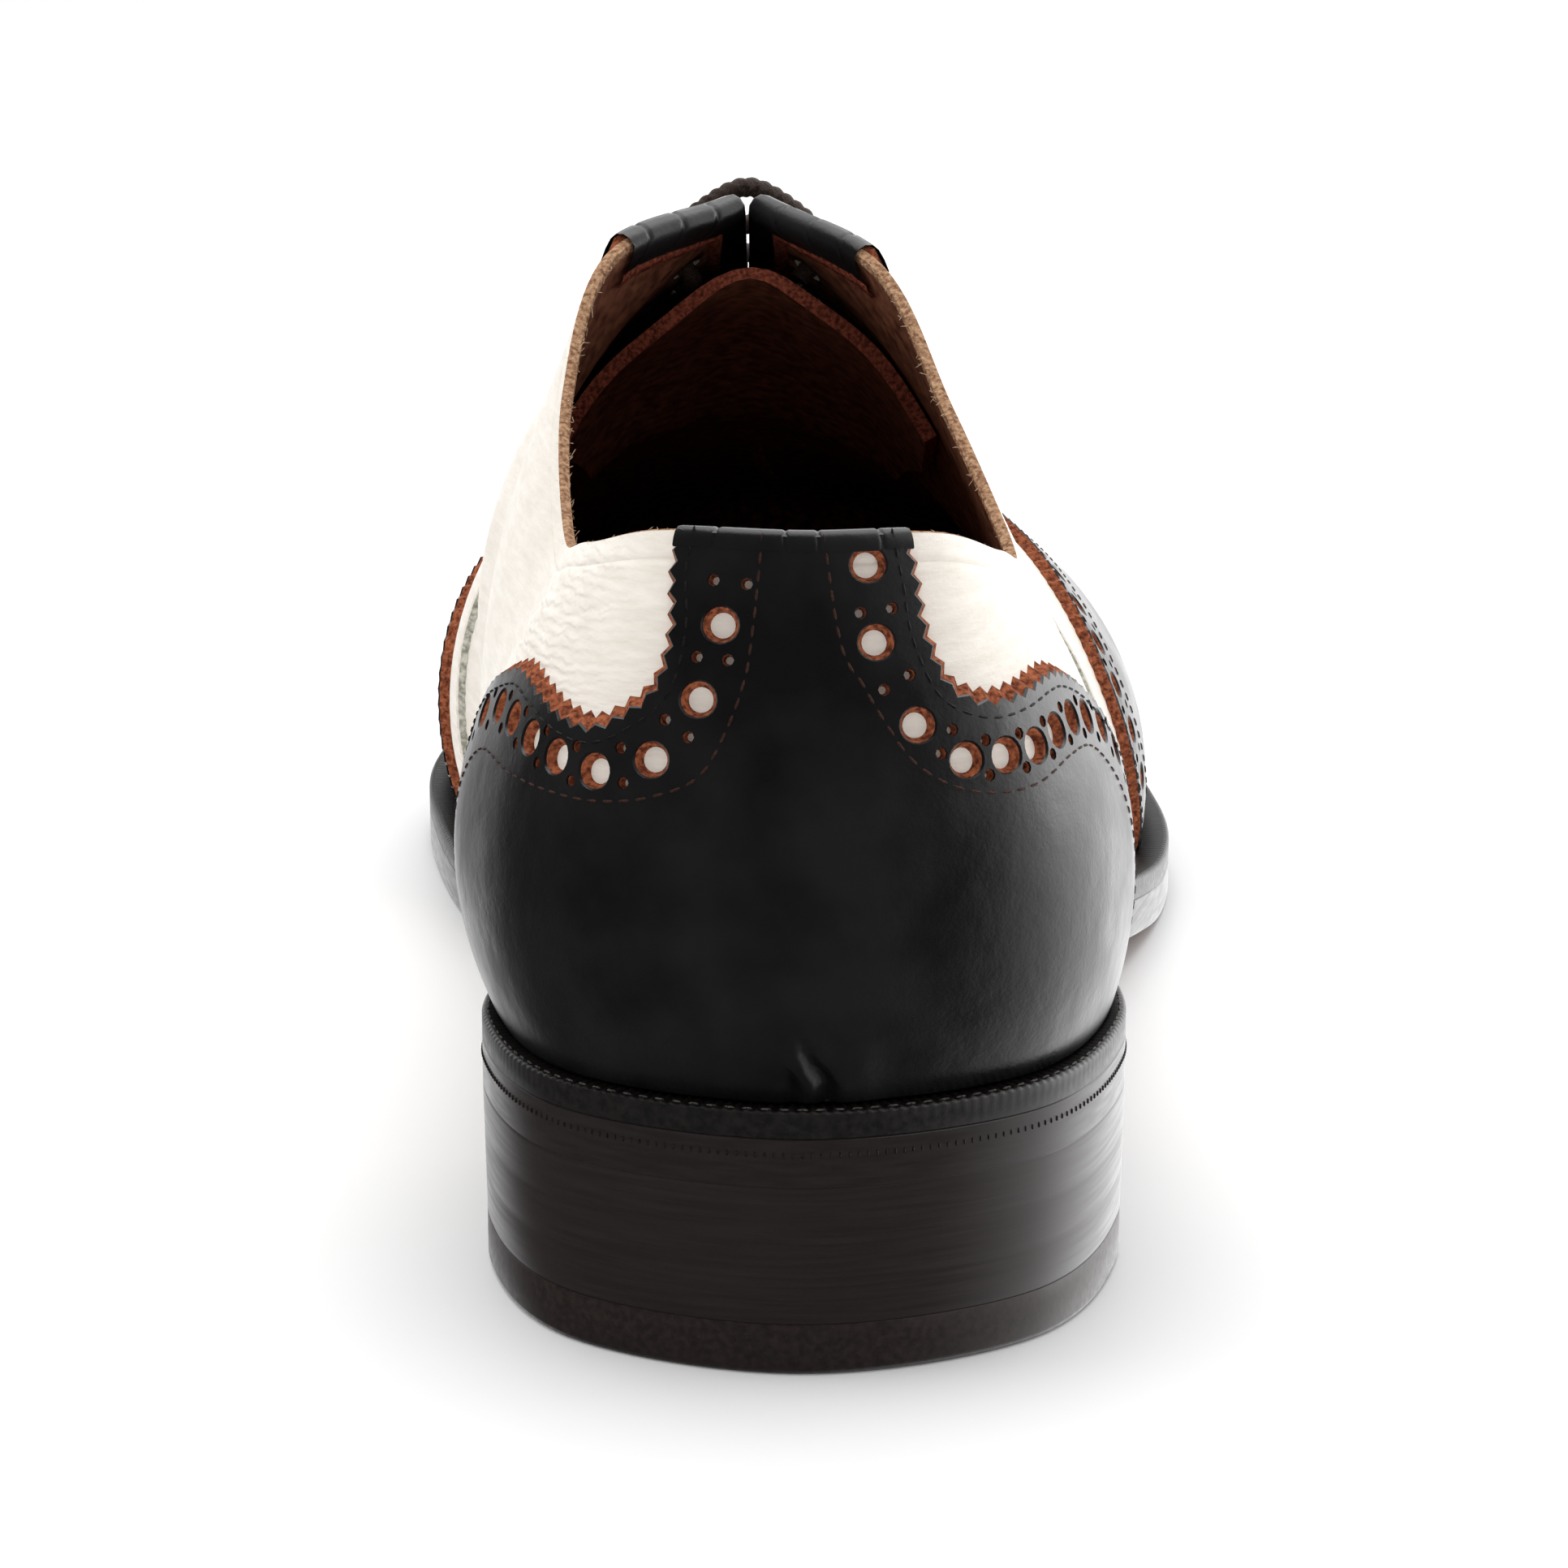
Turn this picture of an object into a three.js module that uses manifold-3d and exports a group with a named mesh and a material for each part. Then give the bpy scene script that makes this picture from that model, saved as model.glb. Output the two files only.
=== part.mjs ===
// A man's spectator oxford with a wing tip, right foot: black wing, counter and facings over a white
// vamp and quarters, on a welted leather sole with a stacked heel. Millimetres, +Z up, toe towards +Y,
// outer side of the foot towards +X. The origin is on the floor, in the middle of the shoe's box.
import * as THREE from "three";
import { mergeVertices } from "three/addons/utils/BufferGeometryUtils.js";
import Module from "manifold-3d";

const wasm = await Module();
wasm.setup();

// Driving dimensions
const SOLE_LENGTH = 302;
const BALL_WIDTH = 108; // across the outsole at the ball
const HEEL_WIDTH = 71.6; // across the heel
const BACK_HEIGHT = 59; // collar above the welt at the heel
const INSTEP_HEIGHT = 88.5; // top of the facings above the welt
const HEEL_RISE = 21; // lifts and top piece, under the outsole at the back
const TOE_SPRING = 11;
const BREAST = 70; // heel back to heel breast, along the sole
const BREAST_HOLLOW = 3; // how far the breast curves in

// Thicknesses
const OUTSOLE = 5;
const WELT = 3;
const TOP_PIECE = 5.7;
const INSOLE = 2.2; // above the welt
const WALL = 1.5; // vamp and lining
const VAMP = 0.7; // step of the vamp over the quarters
const OVERLAY = 0.9; // wing, counter and facings
const TONGUE = 1.8;
const GAP = 0.35; // between pieces that touch
const EDGE_ROUND = 0.7; // bevel of the outsole's and heel's edges

// Lacing
const SLIT = 3; // between the facings at the top
const EYELETS = 5;
const EYELET_RADIUS = 2;
const EYELET_PITCH = 12.4;
const EYELET_FROM_TOP = 7.5;
const EYELET_FROM_EDGE = 8.5;
const LACE = 2.6; // diameter
const LACE_SIDES = 6;
const LACE_ROWS = 140;

// A table's rows as objects with named columns.
function table(columns, rows) {
  const names = columns.split(" ");
  return rows.map((row) => Object.fromEntries(names.map((name, i) => [name, row[i]])));
}

// Sole outline, heel back (row 0) to toe tip (last row). along: share of SOLE_LENGTH. heel and ball: how
// far out, as shares of HEEL_WIDTH and BALL_WIDTH, which add up. margin: welt beyond the upper's foot,
// mm. out_ is the outer side of the foot, in_ the inner.
const OUTLINE = table("out_along out_heel out_ball in_along in_heel in_ball margin", [
  [0.0, 0, 0, 0.0, 0, 0, 3.6],
  [0.0345, 0.353, 0, 0.0345, -0.353, 0, 3.4],
  [0.1125, 0.5, 0, 0.1125, -0.494, 0, 3.0],
  [0.199, 0.494, 0, 0.199, -0.47, 0, 3.0],
  [0.275, 0.475, 0, 0.275, -0.422, 0, 3.4],
  [0.331, 0.24, 0.158, 0.331, -0.2, -0.133, 3.8],
  [0.3775, 0.12, 0.254, 0.381, -0.1, -0.2, 4.2],
  [0.424, 0, 0.363, 0.434, 0, -0.292, 4.6],
  [0.4735, 0, 0.401, 0.49, 0, -0.345, 5.0],
  [0.546, 0, 0.458, 0.566, 0, -0.43, 5.6],
  [0.626, 0, 0.4965, 0.66, 0, -0.489, 6.0],
  [0.712, 0, 0.49, 0.748, 0, -0.512, 6.2],
  [0.8045, 0, 0.444, 0.834, 0, -0.461, 6.2],
  [0.893, 0, 0.356, 0.905, 0, -0.372, 6.1],
  [0.9645, 0, 0.216, 0.9685, 0, -0.24, 6.0],
  [1.0, 0, -0.014, 1.0, 0, -0.014, 6.0],
]);

// Each section's curve from the welt up to the top edge: lean from upright in degrees and reach as a
// share of the section's chord, at its foot (low) and at its top (high).
const SECTION_COLUMNS = "low_lean low_reach high_lean high_reach";
const OUTER_SECTIONS = table(SECTION_COLUMNS, [
  [22, 0.36, 14, 0.36],
  [24, 0.36, 22, 0.36],
  [18, 0.38, 34, 0.36],
  [22, 0.38, 30, 0.34],
  [20, 0.36, 20, 0.34],
  [9, 0.38, 23, 0.28],
  [4, 0.4, 56, 0.26],
  [2, 0.38, 70, 0.27],
  [4, 0.39, 80, 0.33],
  [6, 0.37, 88, 0.36],
  [11, 0.37, 90, 0.38],
  [18, 0.39, 90, 0.4],
  [21, 0.4, 90, 0.42],
  [20, 0.42, 90, 0.44],
  [17, 0.44, 90, 0.46],
  [14, 0.45, 90, 0.48],
]);
const INNER_SECTIONS = table(SECTION_COLUMNS, [
  [22, 0.36, 14, 0.36],
  [24, 0.36, 22, 0.36],
  [26, 0.38, 34, 0.36],
  [44, 0.4, 25, 0.34],
  [44, 0.46, 20, 0.35],
  [46, 0.46, 22, 0.27],
  [45, 0.46, 55, 0.36],
  [48, 0.48, 78, 0.46],
  [42, 0.48, 84, 0.54],
  [33, 0.46, 88, 0.56],
  [21, 0.43, 90, 0.48],
  [18, 0.42, 90, 0.42],
  [19, 0.41, 90, 0.43],
  [19, 0.42, 90, 0.44],
  [17, 0.44, 90, 0.46],
  [14, 0.45, 90, 0.48],
]);

// Collar edge, heel back to the facing's top corner. along: share of SOLE_LENGTH; out: share of
// HEEL_WIDTH; back and instep: height as shares of BACK_HEIGHT and INSTEP_HEIGHT, which add up.
const COLLAR = table("out_along out_out out_back out_instep in_along in_out in_back in_instep", [
  [0.0315, 0, 1.0, 0, 0.0315, 0, 1.0, 0],
  [0.05, 0.2, 0.985, 0, 0.05, -0.21, 0.99, 0],
  [0.113, 0.3, 0.89, 0, 0.113, -0.325, 0.905, 0],
  [0.186, 0.336, 0.83, 0, 0.186, -0.375, 0.855, 0],
  [0.262, 0.25, 0.5, 0.37, 0.262, -0.39, 0.5, 0.39],
  [0.319, 0.14, 0, 0.9, 0.319, -0.325, 0, 0.917],
]);

// Ridge over the instep and toes. along: share of SOLE_LENGTH; out: share of BALL_WIDTH; height: share
// of INSTEP_HEIGHT above the welt.
const RIDGE = table("along out height", [
  [0.3675, -0.06, 1.0],
  [0.48, -0.06, 0.909],
  [0.589, -0.06, 0.765],
  [0.679, -0.056, 0.63],
  [0.768, -0.045, 0.51],
  [0.868, -0.022, 0.39],
]);

// Where on the ridge the sections end, as shares of SOLE_LENGTH, from the facing's corner row on.
const RIDGE_AT = [0.3675, 0.48, 0.589, 0.652, 0.709, 0.758, 0.8045, 0.841, 0.8615, 0.868];
const CORNER_ROW = COLLAR.length;
const THROAT_ROW = CORNER_ROW + 2; // the slit ends here, and the vamp's back edge starts
const TOE_ROW = OUTLINE.length - 1;
const ROUND = 2 * TOE_ROW; // rows round the whole shoe

// Underside of the outsole: height at shares of SOLE_LENGTH, as a share of HEEL_RISE or TOE_SPRING.
const PROFILE = table("along heel toe", [
  [0.0, 1.0, 0],
  [0.12, 0.99, 0],
  [0.24, 0.93, 0],
  [0.32, 0.74, 0],
  [0.42, 0.42, 0],
  [0.52, 0.13, 0],
  [0.59, 0, 0],
  [0.69, 0, 0],
  [0.78, 0, 0.16],
  [0.87, 0, 0.43],
  [0.94, 0, 0.71],
  [1.0, 0, 1.0],
]);

const rad = THREE.MathUtils.degToRad;
const lerp = THREE.MathUtils.lerp;
const vec = (x, y, z) => new THREE.Vector3(x, y, z);

// Catmull-Rom through a ring of evenly spaced values.
function ring(values, u) {
  const n = values.length;
  const i = Math.floor(u);
  const f = u - i;
  const [a, b, c, d] = [-1, 0, 1, 2].map((k) => values[(((i + k) % n) + n) % n]);
  return b + 0.5 * f * (c - a + f * (2 * a - 5 * b + 4 * c - d + f * (3 * (b - c) + d - a)));
}

// Catmull-Rom through an open row of evenly spaced values.
function strip(values, u) {
  const last = values.length - 1;
  const i = Math.min(Math.max(Math.floor(u), 0), last - 1);
  const f = u - i;
  const b = values[i];
  const c = values[i + 1];
  const a = i > 0 ? values[i - 1] : 2 * b - c;
  const d = i + 2 <= last ? values[i + 2] : 2 * c - b;
  return b + 0.5 * f * (c - a + f * (2 * a - 5 * b + 4 * c - d + f * (3 * (b - c) + d - a)));
}

// Monotone cubic through [x, y] knots, straight beyond the ends.
function curve(knots, x) {
  const last = knots.length - 1;
  const slope = (i) => (knots[i + 1][1] - knots[i][1]) / (knots[i + 1][0] - knots[i][0]);
  const tangent = (i) => {
    if (i === 0) return slope(0);
    if (i === last) return slope(last - 1);
    const [s, t] = [slope(i - 1), slope(i)];
    return s * t <= 0 ? 0 : (2 * s * t) / (s + t);
  };
  if (x <= knots[0][0]) return knots[0][1] + tangent(0) * (x - knots[0][0]);
  if (x >= knots[last][0]) return knots[last][1] + tangent(last) * (x - knots[last][0]);
  let i = 0;
  while (x > knots[i + 1][0]) i++;
  const h = knots[i + 1][0] - knots[i][0];
  const f = (x - knots[i][0]) / h;
  const [p, q] = [knots[i][1], knots[i + 1][1]];
  const [m, n] = [tangent(i) * h, tangent(i + 1) * h];
  return p + f * (m + f * (3 * (q - p) - 2 * m - n + f * (2 * (p - q) + m + n)));
}

// The rows of a table as one ring: outer side out, inner side back.
function aroundBoth(rows, outer, inner) {
  const out = rows.map(outer);
  const back = rows.slice(1, -1).reverse().map(inner);
  return [...out, ...back];
}

const soleX = aroundBoth(
  OUTLINE,
  (r) => r.out_heel * HEEL_WIDTH + r.out_ball * BALL_WIDTH,
  (r) => r.in_heel * HEEL_WIDTH + r.in_ball * BALL_WIDTH,
);
const soleY = aroundBoth(OUTLINE, (r) => r.out_along * SOLE_LENGTH, (r) => r.in_along * SOLE_LENGTH);
const margins = aroundBoth(OUTLINE, (r) => r.margin, (r) => r.margin);
const sectionRing = Object.fromEntries(
  SECTION_COLUMNS.split(" ").map((name) => [
    name,
    [...OUTER_SECTIONS, ...INNER_SECTIONS.slice(1, -1).reverse()].map((row) => row[name]),
  ]),
);

const profileKnots = PROFILE.map((r) => [r.along * SOLE_LENGTH, r.heel * HEEL_RISE + r.toe * TOE_SPRING]);
const soleUnder = (y) => Math.max(0, curve(profileKnots, y));
const SEAT = OUTSOLE + GAP + WELT + GAP; // underside of the outsole to the foot of the upper
const seatHeight = (y) => soleUnder(y) + SEAT;

// Point of the sole's outline moved in by inset, at u rows round the shoe from the heel back.
function soleEdge(u, inset) {
  const step = 0.01;
  const p = vec(ring(soleX, u), ring(soleY, u), 0);
  const along = vec(ring(soleX, u + step) - ring(soleX, u - step), ring(soleY, u + step) - ring(soleY, u - step), 0);
  const outward = vec(along.y, -along.x, 0).normalize();
  return { p: p.addScaledVector(outward, -inset), outward };
}

const ridgeOut = RIDGE.map((r) => [r.along * SOLE_LENGTH, r.out * BALL_WIDTH]);
const ridgeUp = RIDGE.map((r) => [r.along * SOLE_LENGTH, r.height * INSTEP_HEIGHT]);
const ridgeX = (y) => curve(ridgeOut, y);
const ridgeZ = (y) => seatHeight(y) + curve(ridgeUp, y);
const ridgeSlope = (y) => ridgeZ(y + 0.5) - ridgeZ(y - 0.5);

// Half the slit between the facings at row k.
function halfSlit(k) {
  const open = THREE.MathUtils.clamp((THROAT_ROW - k) / (THROAT_ROW - CORNER_ROW), 0, 1);
  return (SLIT / 2) * Math.pow(open, 0.5);
}

// Row from the heel back, 0 to TOE_ROW, and the side, 1 outer or -1 inner, of a place u round the shoe.
const sideOf = (u) => (u <= TOE_ROW ? 1 : -1);
const rowOf = (u) => (u <= TOE_ROW ? u : ROUND - u);

// Top edge of the upper: the collar, then the facing's edge, then the ridge.
function topPoint(u) {
  const k = rowOf(u);
  const side = sideOf(u);
  if (k >= CORNER_ROW) {
    const y = strip(RIDGE_AT, k - CORNER_ROW) * SOLE_LENGTH;
    return vec(ridgeX(y) + side * halfSlit(k), y, ridgeZ(y));
  }
  const name = side > 0 ? "out_" : "in_";
  const corner = RIDGE[0];
  const cornerOut = (corner.out * BALL_WIDTH + side * halfSlit(CORNER_ROW)) / HEEL_WIDTH;
  const column = (c, end) => [...COLLAR.map((r) => r[name + c]), end];
  const at = (c, end) => {
    const other = COLLAR[1][(side > 0 ? "in_" : "out_") + c];
    return strip([other, ...column(c, end)], k + 1);
  };
  const y = at("along", corner.along) * SOLE_LENGTH;
  const x = at("out", cornerOut) * HEEL_WIDTH;
  const up = at("back", 0) * BACK_HEIGHT + at("instep", 1) * INSTEP_HEIGHT;
  return vec(x, y, seatHeight(y) + up);
}

// Control points of the section at u: foot, two handles and top.
function section(u) {
  const { p: foot, outward } = soleEdge(u, ring(margins, u));
  foot.z = seatHeight(foot.y);
  const top = topPoint(u);
  const k = rowOf(u);
  const chord = foot.distanceTo(top);
  const lean = (name) => rad(ring(sectionRing[name], u));
  const reach = (name) => ring(sectionRing[name], u) * chord;
  const low = foot.clone().addScaledVector(outward, reach("low_reach") * Math.sin(lean("low_lean")));
  low.z += reach("low_reach") * Math.cos(lean("low_lean"));
  const fan = THREE.MathUtils.smoothstep(k, 4, 7);
  const toFoot = vec(foot.x - top.x, foot.y - top.y, 0).normalize();
  const away = outward.clone().lerp(toFoot, fan).normalize();
  const slope = ridgeSlope(Math.max(top.y, RIDGE[0].along * SOLE_LENGTH)) * fan;
  away.z = away.y * slope;
  const high = top.clone().addScaledVector(away, reach("high_reach") * Math.sin(lean("high_lean")));
  high.z -= reach("high_reach") * Math.cos(lean("high_lean"));
  return [foot, low, high, top];
}

function bezier([a, b, c, d], t) {
  const s = 1 - t;
  return a
    .clone()
    .multiplyScalar(s * s * s)
    .addScaledVector(b, 3 * s * s * t)
    .addScaledVector(c, 3 * s * t * t)
    .addScaledVector(d, t * t * t);
}

const skin = (u, t) => bezier(section(u), t);

// Outward unit normal of the upper's surface.
function skinNormal(u, t) {
  if (t > 0.999 && rowOf(u) >= CORNER_ROW) {
    const slope = ridgeSlope(topPoint(u).y);
    return vec(0, -slope, 1).normalize();
  }
  const du = 0.02;
  const t0 = Math.min(t, 0.98);
  const across = skin(u + du, t0).sub(skin(u - du, t0));
  const up = skin(u, Math.min(t0 + 0.01, 1)).sub(skin(u, Math.max(t0 - 0.01, 0)));
  return across.cross(up).normalize();
}

// Point at a distance out from the upper's surface. Its foot stays level with the welt.
function leather(u, t, distance) {
  const p = skin(u, t).addScaledVector(skinNormal(u, t), distance);
  if (t === 0) p.z = seatHeight(p.y);
  return p;
}

// Triangles of a quad, wound a b c d.
const quad = (a, b, c, d) => [a, b, c, a, c, d];

// A closed geometry from a list of corner points, three a triangle. Triangles without area are dropped.
function geometryOf(corners) {
  const kept = [];
  const key = (p) => p.toArray().map((x) => Math.round(x * 1e3)).join();
  for (let i = 0; i < corners.length; i += 3) {
    const tri = corners.slice(i, i + 3);
    if (new Set(tri.map(key)).size === 3) kept.push(...tri);
  }
  const positions = kept.flatMap((p) => p.toArray());
  const loose = new THREE.BufferGeometry();
  loose.setAttribute("position", new THREE.Float32BufferAttribute(positions, 3));
  return mergeVertices(loose, 1e-3);
}

// A sheet with thickness between two grids of points, outer[i][j] and inner[i][j]. closed joins the last
// column to the first. openTop(i) says whether the span after column i needs an edge face at its top.
function sheet(outer, inner, closed = false, openTop = () => true) {
  const n = outer.length;
  const m = outer[0].length;
  const spans = closed ? n : n - 1;
  const tris = [];
  for (let i = 0; i < spans; i++) {
    const k = (i + 1) % n;
    for (let j = 0; j + 1 < m; j++) {
      tris.push(...quad(outer[i][j], outer[k][j], outer[k][j + 1], outer[i][j + 1]));
      tris.push(...quad(inner[i][j], inner[i][j + 1], inner[k][j + 1], inner[k][j]));
    }
    tris.push(...quad(inner[i][0], inner[k][0], outer[k][0], outer[i][0]));
    if (openTop(i)) tris.push(...quad(outer[i][m - 1], outer[k][m - 1], inner[k][m - 1], inner[i][m - 1]));
  }
  if (!closed) {
    for (let j = 0; j + 1 < m; j++) {
      tris.push(...quad(outer[0][j], outer[0][j + 1], inner[0][j + 1], inner[0][j]));
      tris.push(...quad(inner[n - 1][j], inner[n - 1][j + 1], outer[n - 1][j + 1], outer[n - 1][j]));
    }
  }
  return geometryOf(tris);
}

const spread = (count, from = 0, to = 1) => Array.from({ length: count + 1 }, (_, i) => lerp(from, to, i / count));

// Solids for cutting and joining
function solidOf(geometry) {
  const merged = mergeVertices(geometry.clone().deleteAttribute("normal").deleteAttribute("uv"), 1e-4);
  return new wasm.Manifold(
    new wasm.Mesh({
      numProp: 3,
      vertProperties: merged.attributes.position.array,
      triVerts: new Uint32Array(merged.index.array),
    }),
  );
}

function geometryOfSolid(solid) {
  const mesh = solid.getMesh();
  const geometry = new THREE.BufferGeometry();
  geometry.setAttribute("position", new THREE.BufferAttribute(mesh.vertProperties, 3));
  geometry.setIndex(new THREE.BufferAttribute(mesh.triVerts, 1));
  return geometry;
}

// How far x is from one value to another, 0 to 1.
const share = (x, from, to) => THREE.MathUtils.clamp((x - from) / (to - from), 0, 1);

const root = new THREE.Group();
const BLACK_LEATHER = { color: 0x121114, roughness: 0.32 };
const WHITE_LEATHER = { color: 0xf3efe9, roughness: 0.45 };
const BROWN_LEATHER = { color: 0x8a4f2c, roughness: 0.75 };
const BLACK_SOLE = { color: 0x1a1513, roughness: 0.35 };
const BROWN_SOLE = { color: 0x5b2a1a, roughness: 0.45 };
const LACE_CORD = { color: 0x231915, roughness: 0.6 };

function addMesh(name, geometry, look) {
  const mesh = new THREE.Mesh(geometry, new THREE.MeshStandardMaterial({ metalness: 0, ...look }));
  mesh.name = name;
  root.add(mesh);
}

const subtract = (geometry, cutters) =>
  geometryOfSolid(solidOf(geometry).subtract(wasm.Manifold.union(cutters.map(solidOf))));

// Eyelets
const RIDGE_LENGTH = topPoint(CORNER_ROW).distanceTo(topPoint(THROAT_ROW));

// The place u, t of eyelet number i, from the top, on side 1 outer or -1 inner.
function eyeletPlace(i, side) {
  const down = EYELET_FROM_TOP + i * EYELET_PITCH;
  const k = lerp(CORNER_ROW, THROAT_ROW, down / RIDGE_LENGTH);
  const u = side > 0 ? k : ROUND - k;
  const edge = skin(u, 1);
  let t = 1;
  while (skin(u, t).distanceTo(edge) < EYELET_FROM_EDGE) t -= 0.002;
  return { u, t };
}

const EYELET_DEPTH = GAP + OVERLAY + 1.5; // how far the cutter stands out of the leather

function eyeletCutter({ u, t }) {
  const axis = skinNormal(u, t);
  const depth = 2 * EYELET_DEPTH + WALL;
  const cutter = new THREE.CylinderGeometry(EYELET_RADIUS, EYELET_RADIUS, depth, 12);
  cutter.applyQuaternion(new THREE.Quaternion().setFromUnitVectors(vec(0, 1, 0), axis));
  const middle = leather(u, t, EYELET_DEPTH - depth / 2);
  return cutter.translate(middle.x, middle.y, middle.z);
}

const eyelets = spread(EYELETS - 1, 0, EYELETS - 1).map((i) => [1, -1].map((side) => eyeletPlace(i, side)));
const eyeletCutters = (side) => eyelets.map((pair) => eyeletCutter(pair[side > 0 ? 0 : 1]));

// Upper: one hollow wall, thicker in front of the vamp's back edge, open at the collar, the slit and below.
const UPPER_ROWS = [
  ...spread(4, 0, 2),
  ...spread(7, 2, 5.5).slice(1),
  ...spread(6, 5.5, 7).slice(1),
  ...spread(2, 7, 8).slice(1),
  ...spread(8, 8, 12).slice(1),
  ...spread(8, 12, TOE_ROW).slice(1),
];
const UPPER_RISE = spread(9);

function upperGeometry() {
  const seam = UPPER_ROWS.indexOf(THROAT_ROW);
  const half = [
    ...UPPER_ROWS.slice(0, seam + 1).map((k) => ({ k, step: 0 })),
    ...UPPER_ROWS.slice(seam).map((k) => ({ k, step: VAMP })),
  ];
  const outer = half.map(({ k, step }) => ({ u: k, step }));
  const inner = half.slice(1, -1).reverse().map(({ k, step }) => ({ u: ROUND - k, step }));
  const columns = [...outer, ...inner];
  const row = (i) => rowOf(columns[i % columns.length].u);
  const openTop = (i) => row(i) < THROAT_ROW || row(i + 1) < THROAT_ROW;
  return sheet(
    columns.map(({ u, step }) => UPPER_RISE.map((t) => leather(u, t, step))),
    columns.map(({ u }) => UPPER_RISE.map((t) => leather(u, t, -WALL))),
    true,
    openTop,
  );
}

addMesh("upper", subtract(upperGeometry(), [...eyeletCutters(1), ...eyeletCutters(-1)]), WHITE_LEATHER);

// Toe wing: its back edge, as the row where it lies at shares of the section's height.
const WING_EDGE = table("rise row", [
  [0, 9.6],
  [0.15, 9.35],
  [0.32, 9.3],
  [0.5, 9.7],
  [0.66, 10.6],
  [0.8, 11.4],
  [0.91, 11.0],
  [1.0, 9.9],
]);
const wingEdge = WING_EDGE.map((r) => [r.rise, r.row]);
const WING_RISE = spread(9);

function wingGeometry() {
  const shares = spread(15);
  const place = (side, s, t) => {
    const k = lerp(curve(wingEdge, t), TOE_ROW, s);
    return side > 0 ? k : ROUND - k;
  };
  const columns = [...shares.map((s) => [1, s]), ...shares.slice(0, -1).reverse().map((s) => [-1, s])];
  const grid = (distance) =>
    columns.map(([side, s]) => WING_RISE.map((t) => leather(place(side, s, t), t, distance)));
  return sheet(grid(VAMP + GAP + OVERLAY), grid(VAMP + GAP), false, () => false);
}

addMesh("toe_wing", wingGeometry(), BLACK_LEATHER);

// Counter with the back strip: its top edge, as a share of the section's height at rows from the heel
// back, and the row at the welt that each column starts from.
const COUNTER_EDGE = table("foot out_row out_rise in_row in_rise", [
  [0, 0, 1, 0, 1],
  [0.1, 0.78, 1, 0.8, 1],
  [0.42, 0.69, 0.86, 0.72, 0.86],
  [0.7, 0.77, 0.745, 0.76, 0.73],
  [1.0, 1.0, 0.72, 1.0, 0.67],
  [1.45, 1.5, 0.75, 1.4, 0.705],
  [1.95, 1.95, 0.67, 1.8, 0.745],
  [2.3, 2.2, 0.58, 2.2, 0.69],
  [2.6, 2.48, 0.46, 2.52, 0.57],
  [2.85, 2.66, 0.3, 2.78, 0.38],
  [3.0, 2.75, 0.12, 2.95, 0.15],
]);

function counterGeometry() {
  const last = COUNTER_EDGE.length - 1;
  const column = (name, s) => strip(COUNTER_EDGE.map((r) => r[name]), s);
  const half = spread(2 * last, 0, last);
  const places = (side, s) => {
    const name = side > 0 ? "out_" : "in_";
    const rise = Math.min(column(name + "rise", s), 1);
    const row = (f) => lerp(column("foot", s), column(name + "row", s), f);
    return spread(7).map((f) => ({ u: side > 0 ? row(f) : (ROUND - row(f)) % ROUND, t: rise * f }));
  };
  const columns = [...half.slice(1).reverse().map((s) => places(-1, s)), ...half.map((s) => places(1, s))];
  const grid = (distance) => columns.map((spots) => spots.map(({ u, t }) => leather(u, t, distance)));
  return sheet(grid(GAP + OVERLAY), grid(GAP));
}

addMesh("counter", counterGeometry(), BLACK_LEATHER);

// Facings: how far down each section they reach, as a share of its height.
const FACING_EDGE = table("row rise", [
  [5.15, 0.93],
  [5.5, 0.8],
  [6, 0.74],
  [7, 0.735],
  [7.6, 0.75],
  [7.9, 0.8],
]);

function facingGeometry(side) {
  const last = FACING_EDGE.length - 1;
  const columns = spread(2 * last, 0, last).map((s) => ({
    k: strip(FACING_EDGE.map((r) => r.row), s),
    low: strip(FACING_EDGE.map((r) => r.rise), s),
  }));
  const grid = (distance) =>
    columns.map(({ k, low }) => spread(4, low, 1).map((t) => leather(side > 0 ? k : ROUND - k, t, distance)));
  const [outer, inner] = [grid(GAP + OVERLAY), grid(GAP)];
  return side > 0 ? sheet(outer, inner) : sheet(outer.reverse(), inner.reverse());
}

addMesh("facing_outer", subtract(facingGeometry(1), eyeletCutters(1)), BLACK_LEATHER);
addMesh("facing_inner", subtract(facingGeometry(-1), eyeletCutters(-1)), BLACK_LEATHER);

// Tongue: under the facings, with room for the lace along the eyelets, then close under the vamp.
const TONGUE_ROWS = [6, 6.5, 7, 7.5, 8, 8.5, 9.2];
const TONGUE_TOP_LOW = 0.58; // how far down the sections it reaches, at its top
const TONGUE_END_LOW = 0.74; // and at its end under the vamp
const TONGUE_CREST = 0.95; // it is flat across the ridge from here
const LACE_ROOM = LACE + 2 * GAP;

function tongueGeometry() {
  const low = (k) => lerp(TONGUE_TOP_LOW, TONGUE_END_LOW, share(k, THROAT_ROW - 1, THROAT_ROW + 1));
  const depth = (k, t) => {
    const laced = share(k, THROAT_ROW + 0.6, THROAT_ROW - 0.4) * share(t, 0.74, 0.84);
    return WALL + lerp(GAP, LACE_ROOM, laced);
  };
  const rise = (k) => spread(6, low(k), TONGUE_CREST);
  const grid = (more) =>
    TONGUE_ROWS.map((k) => [
      ...rise(k).map((t) => leather(k, t, -depth(k, t) - more)),
      ...rise(k).reverse().map((t) => leather(ROUND - k, t, -depth(k, t) - more)),
    ]);
  return sheet(grid(0), grid(TONGUE));
}

addMesh("tongue", tongueGeometry(), BROWN_LEATHER);

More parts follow.
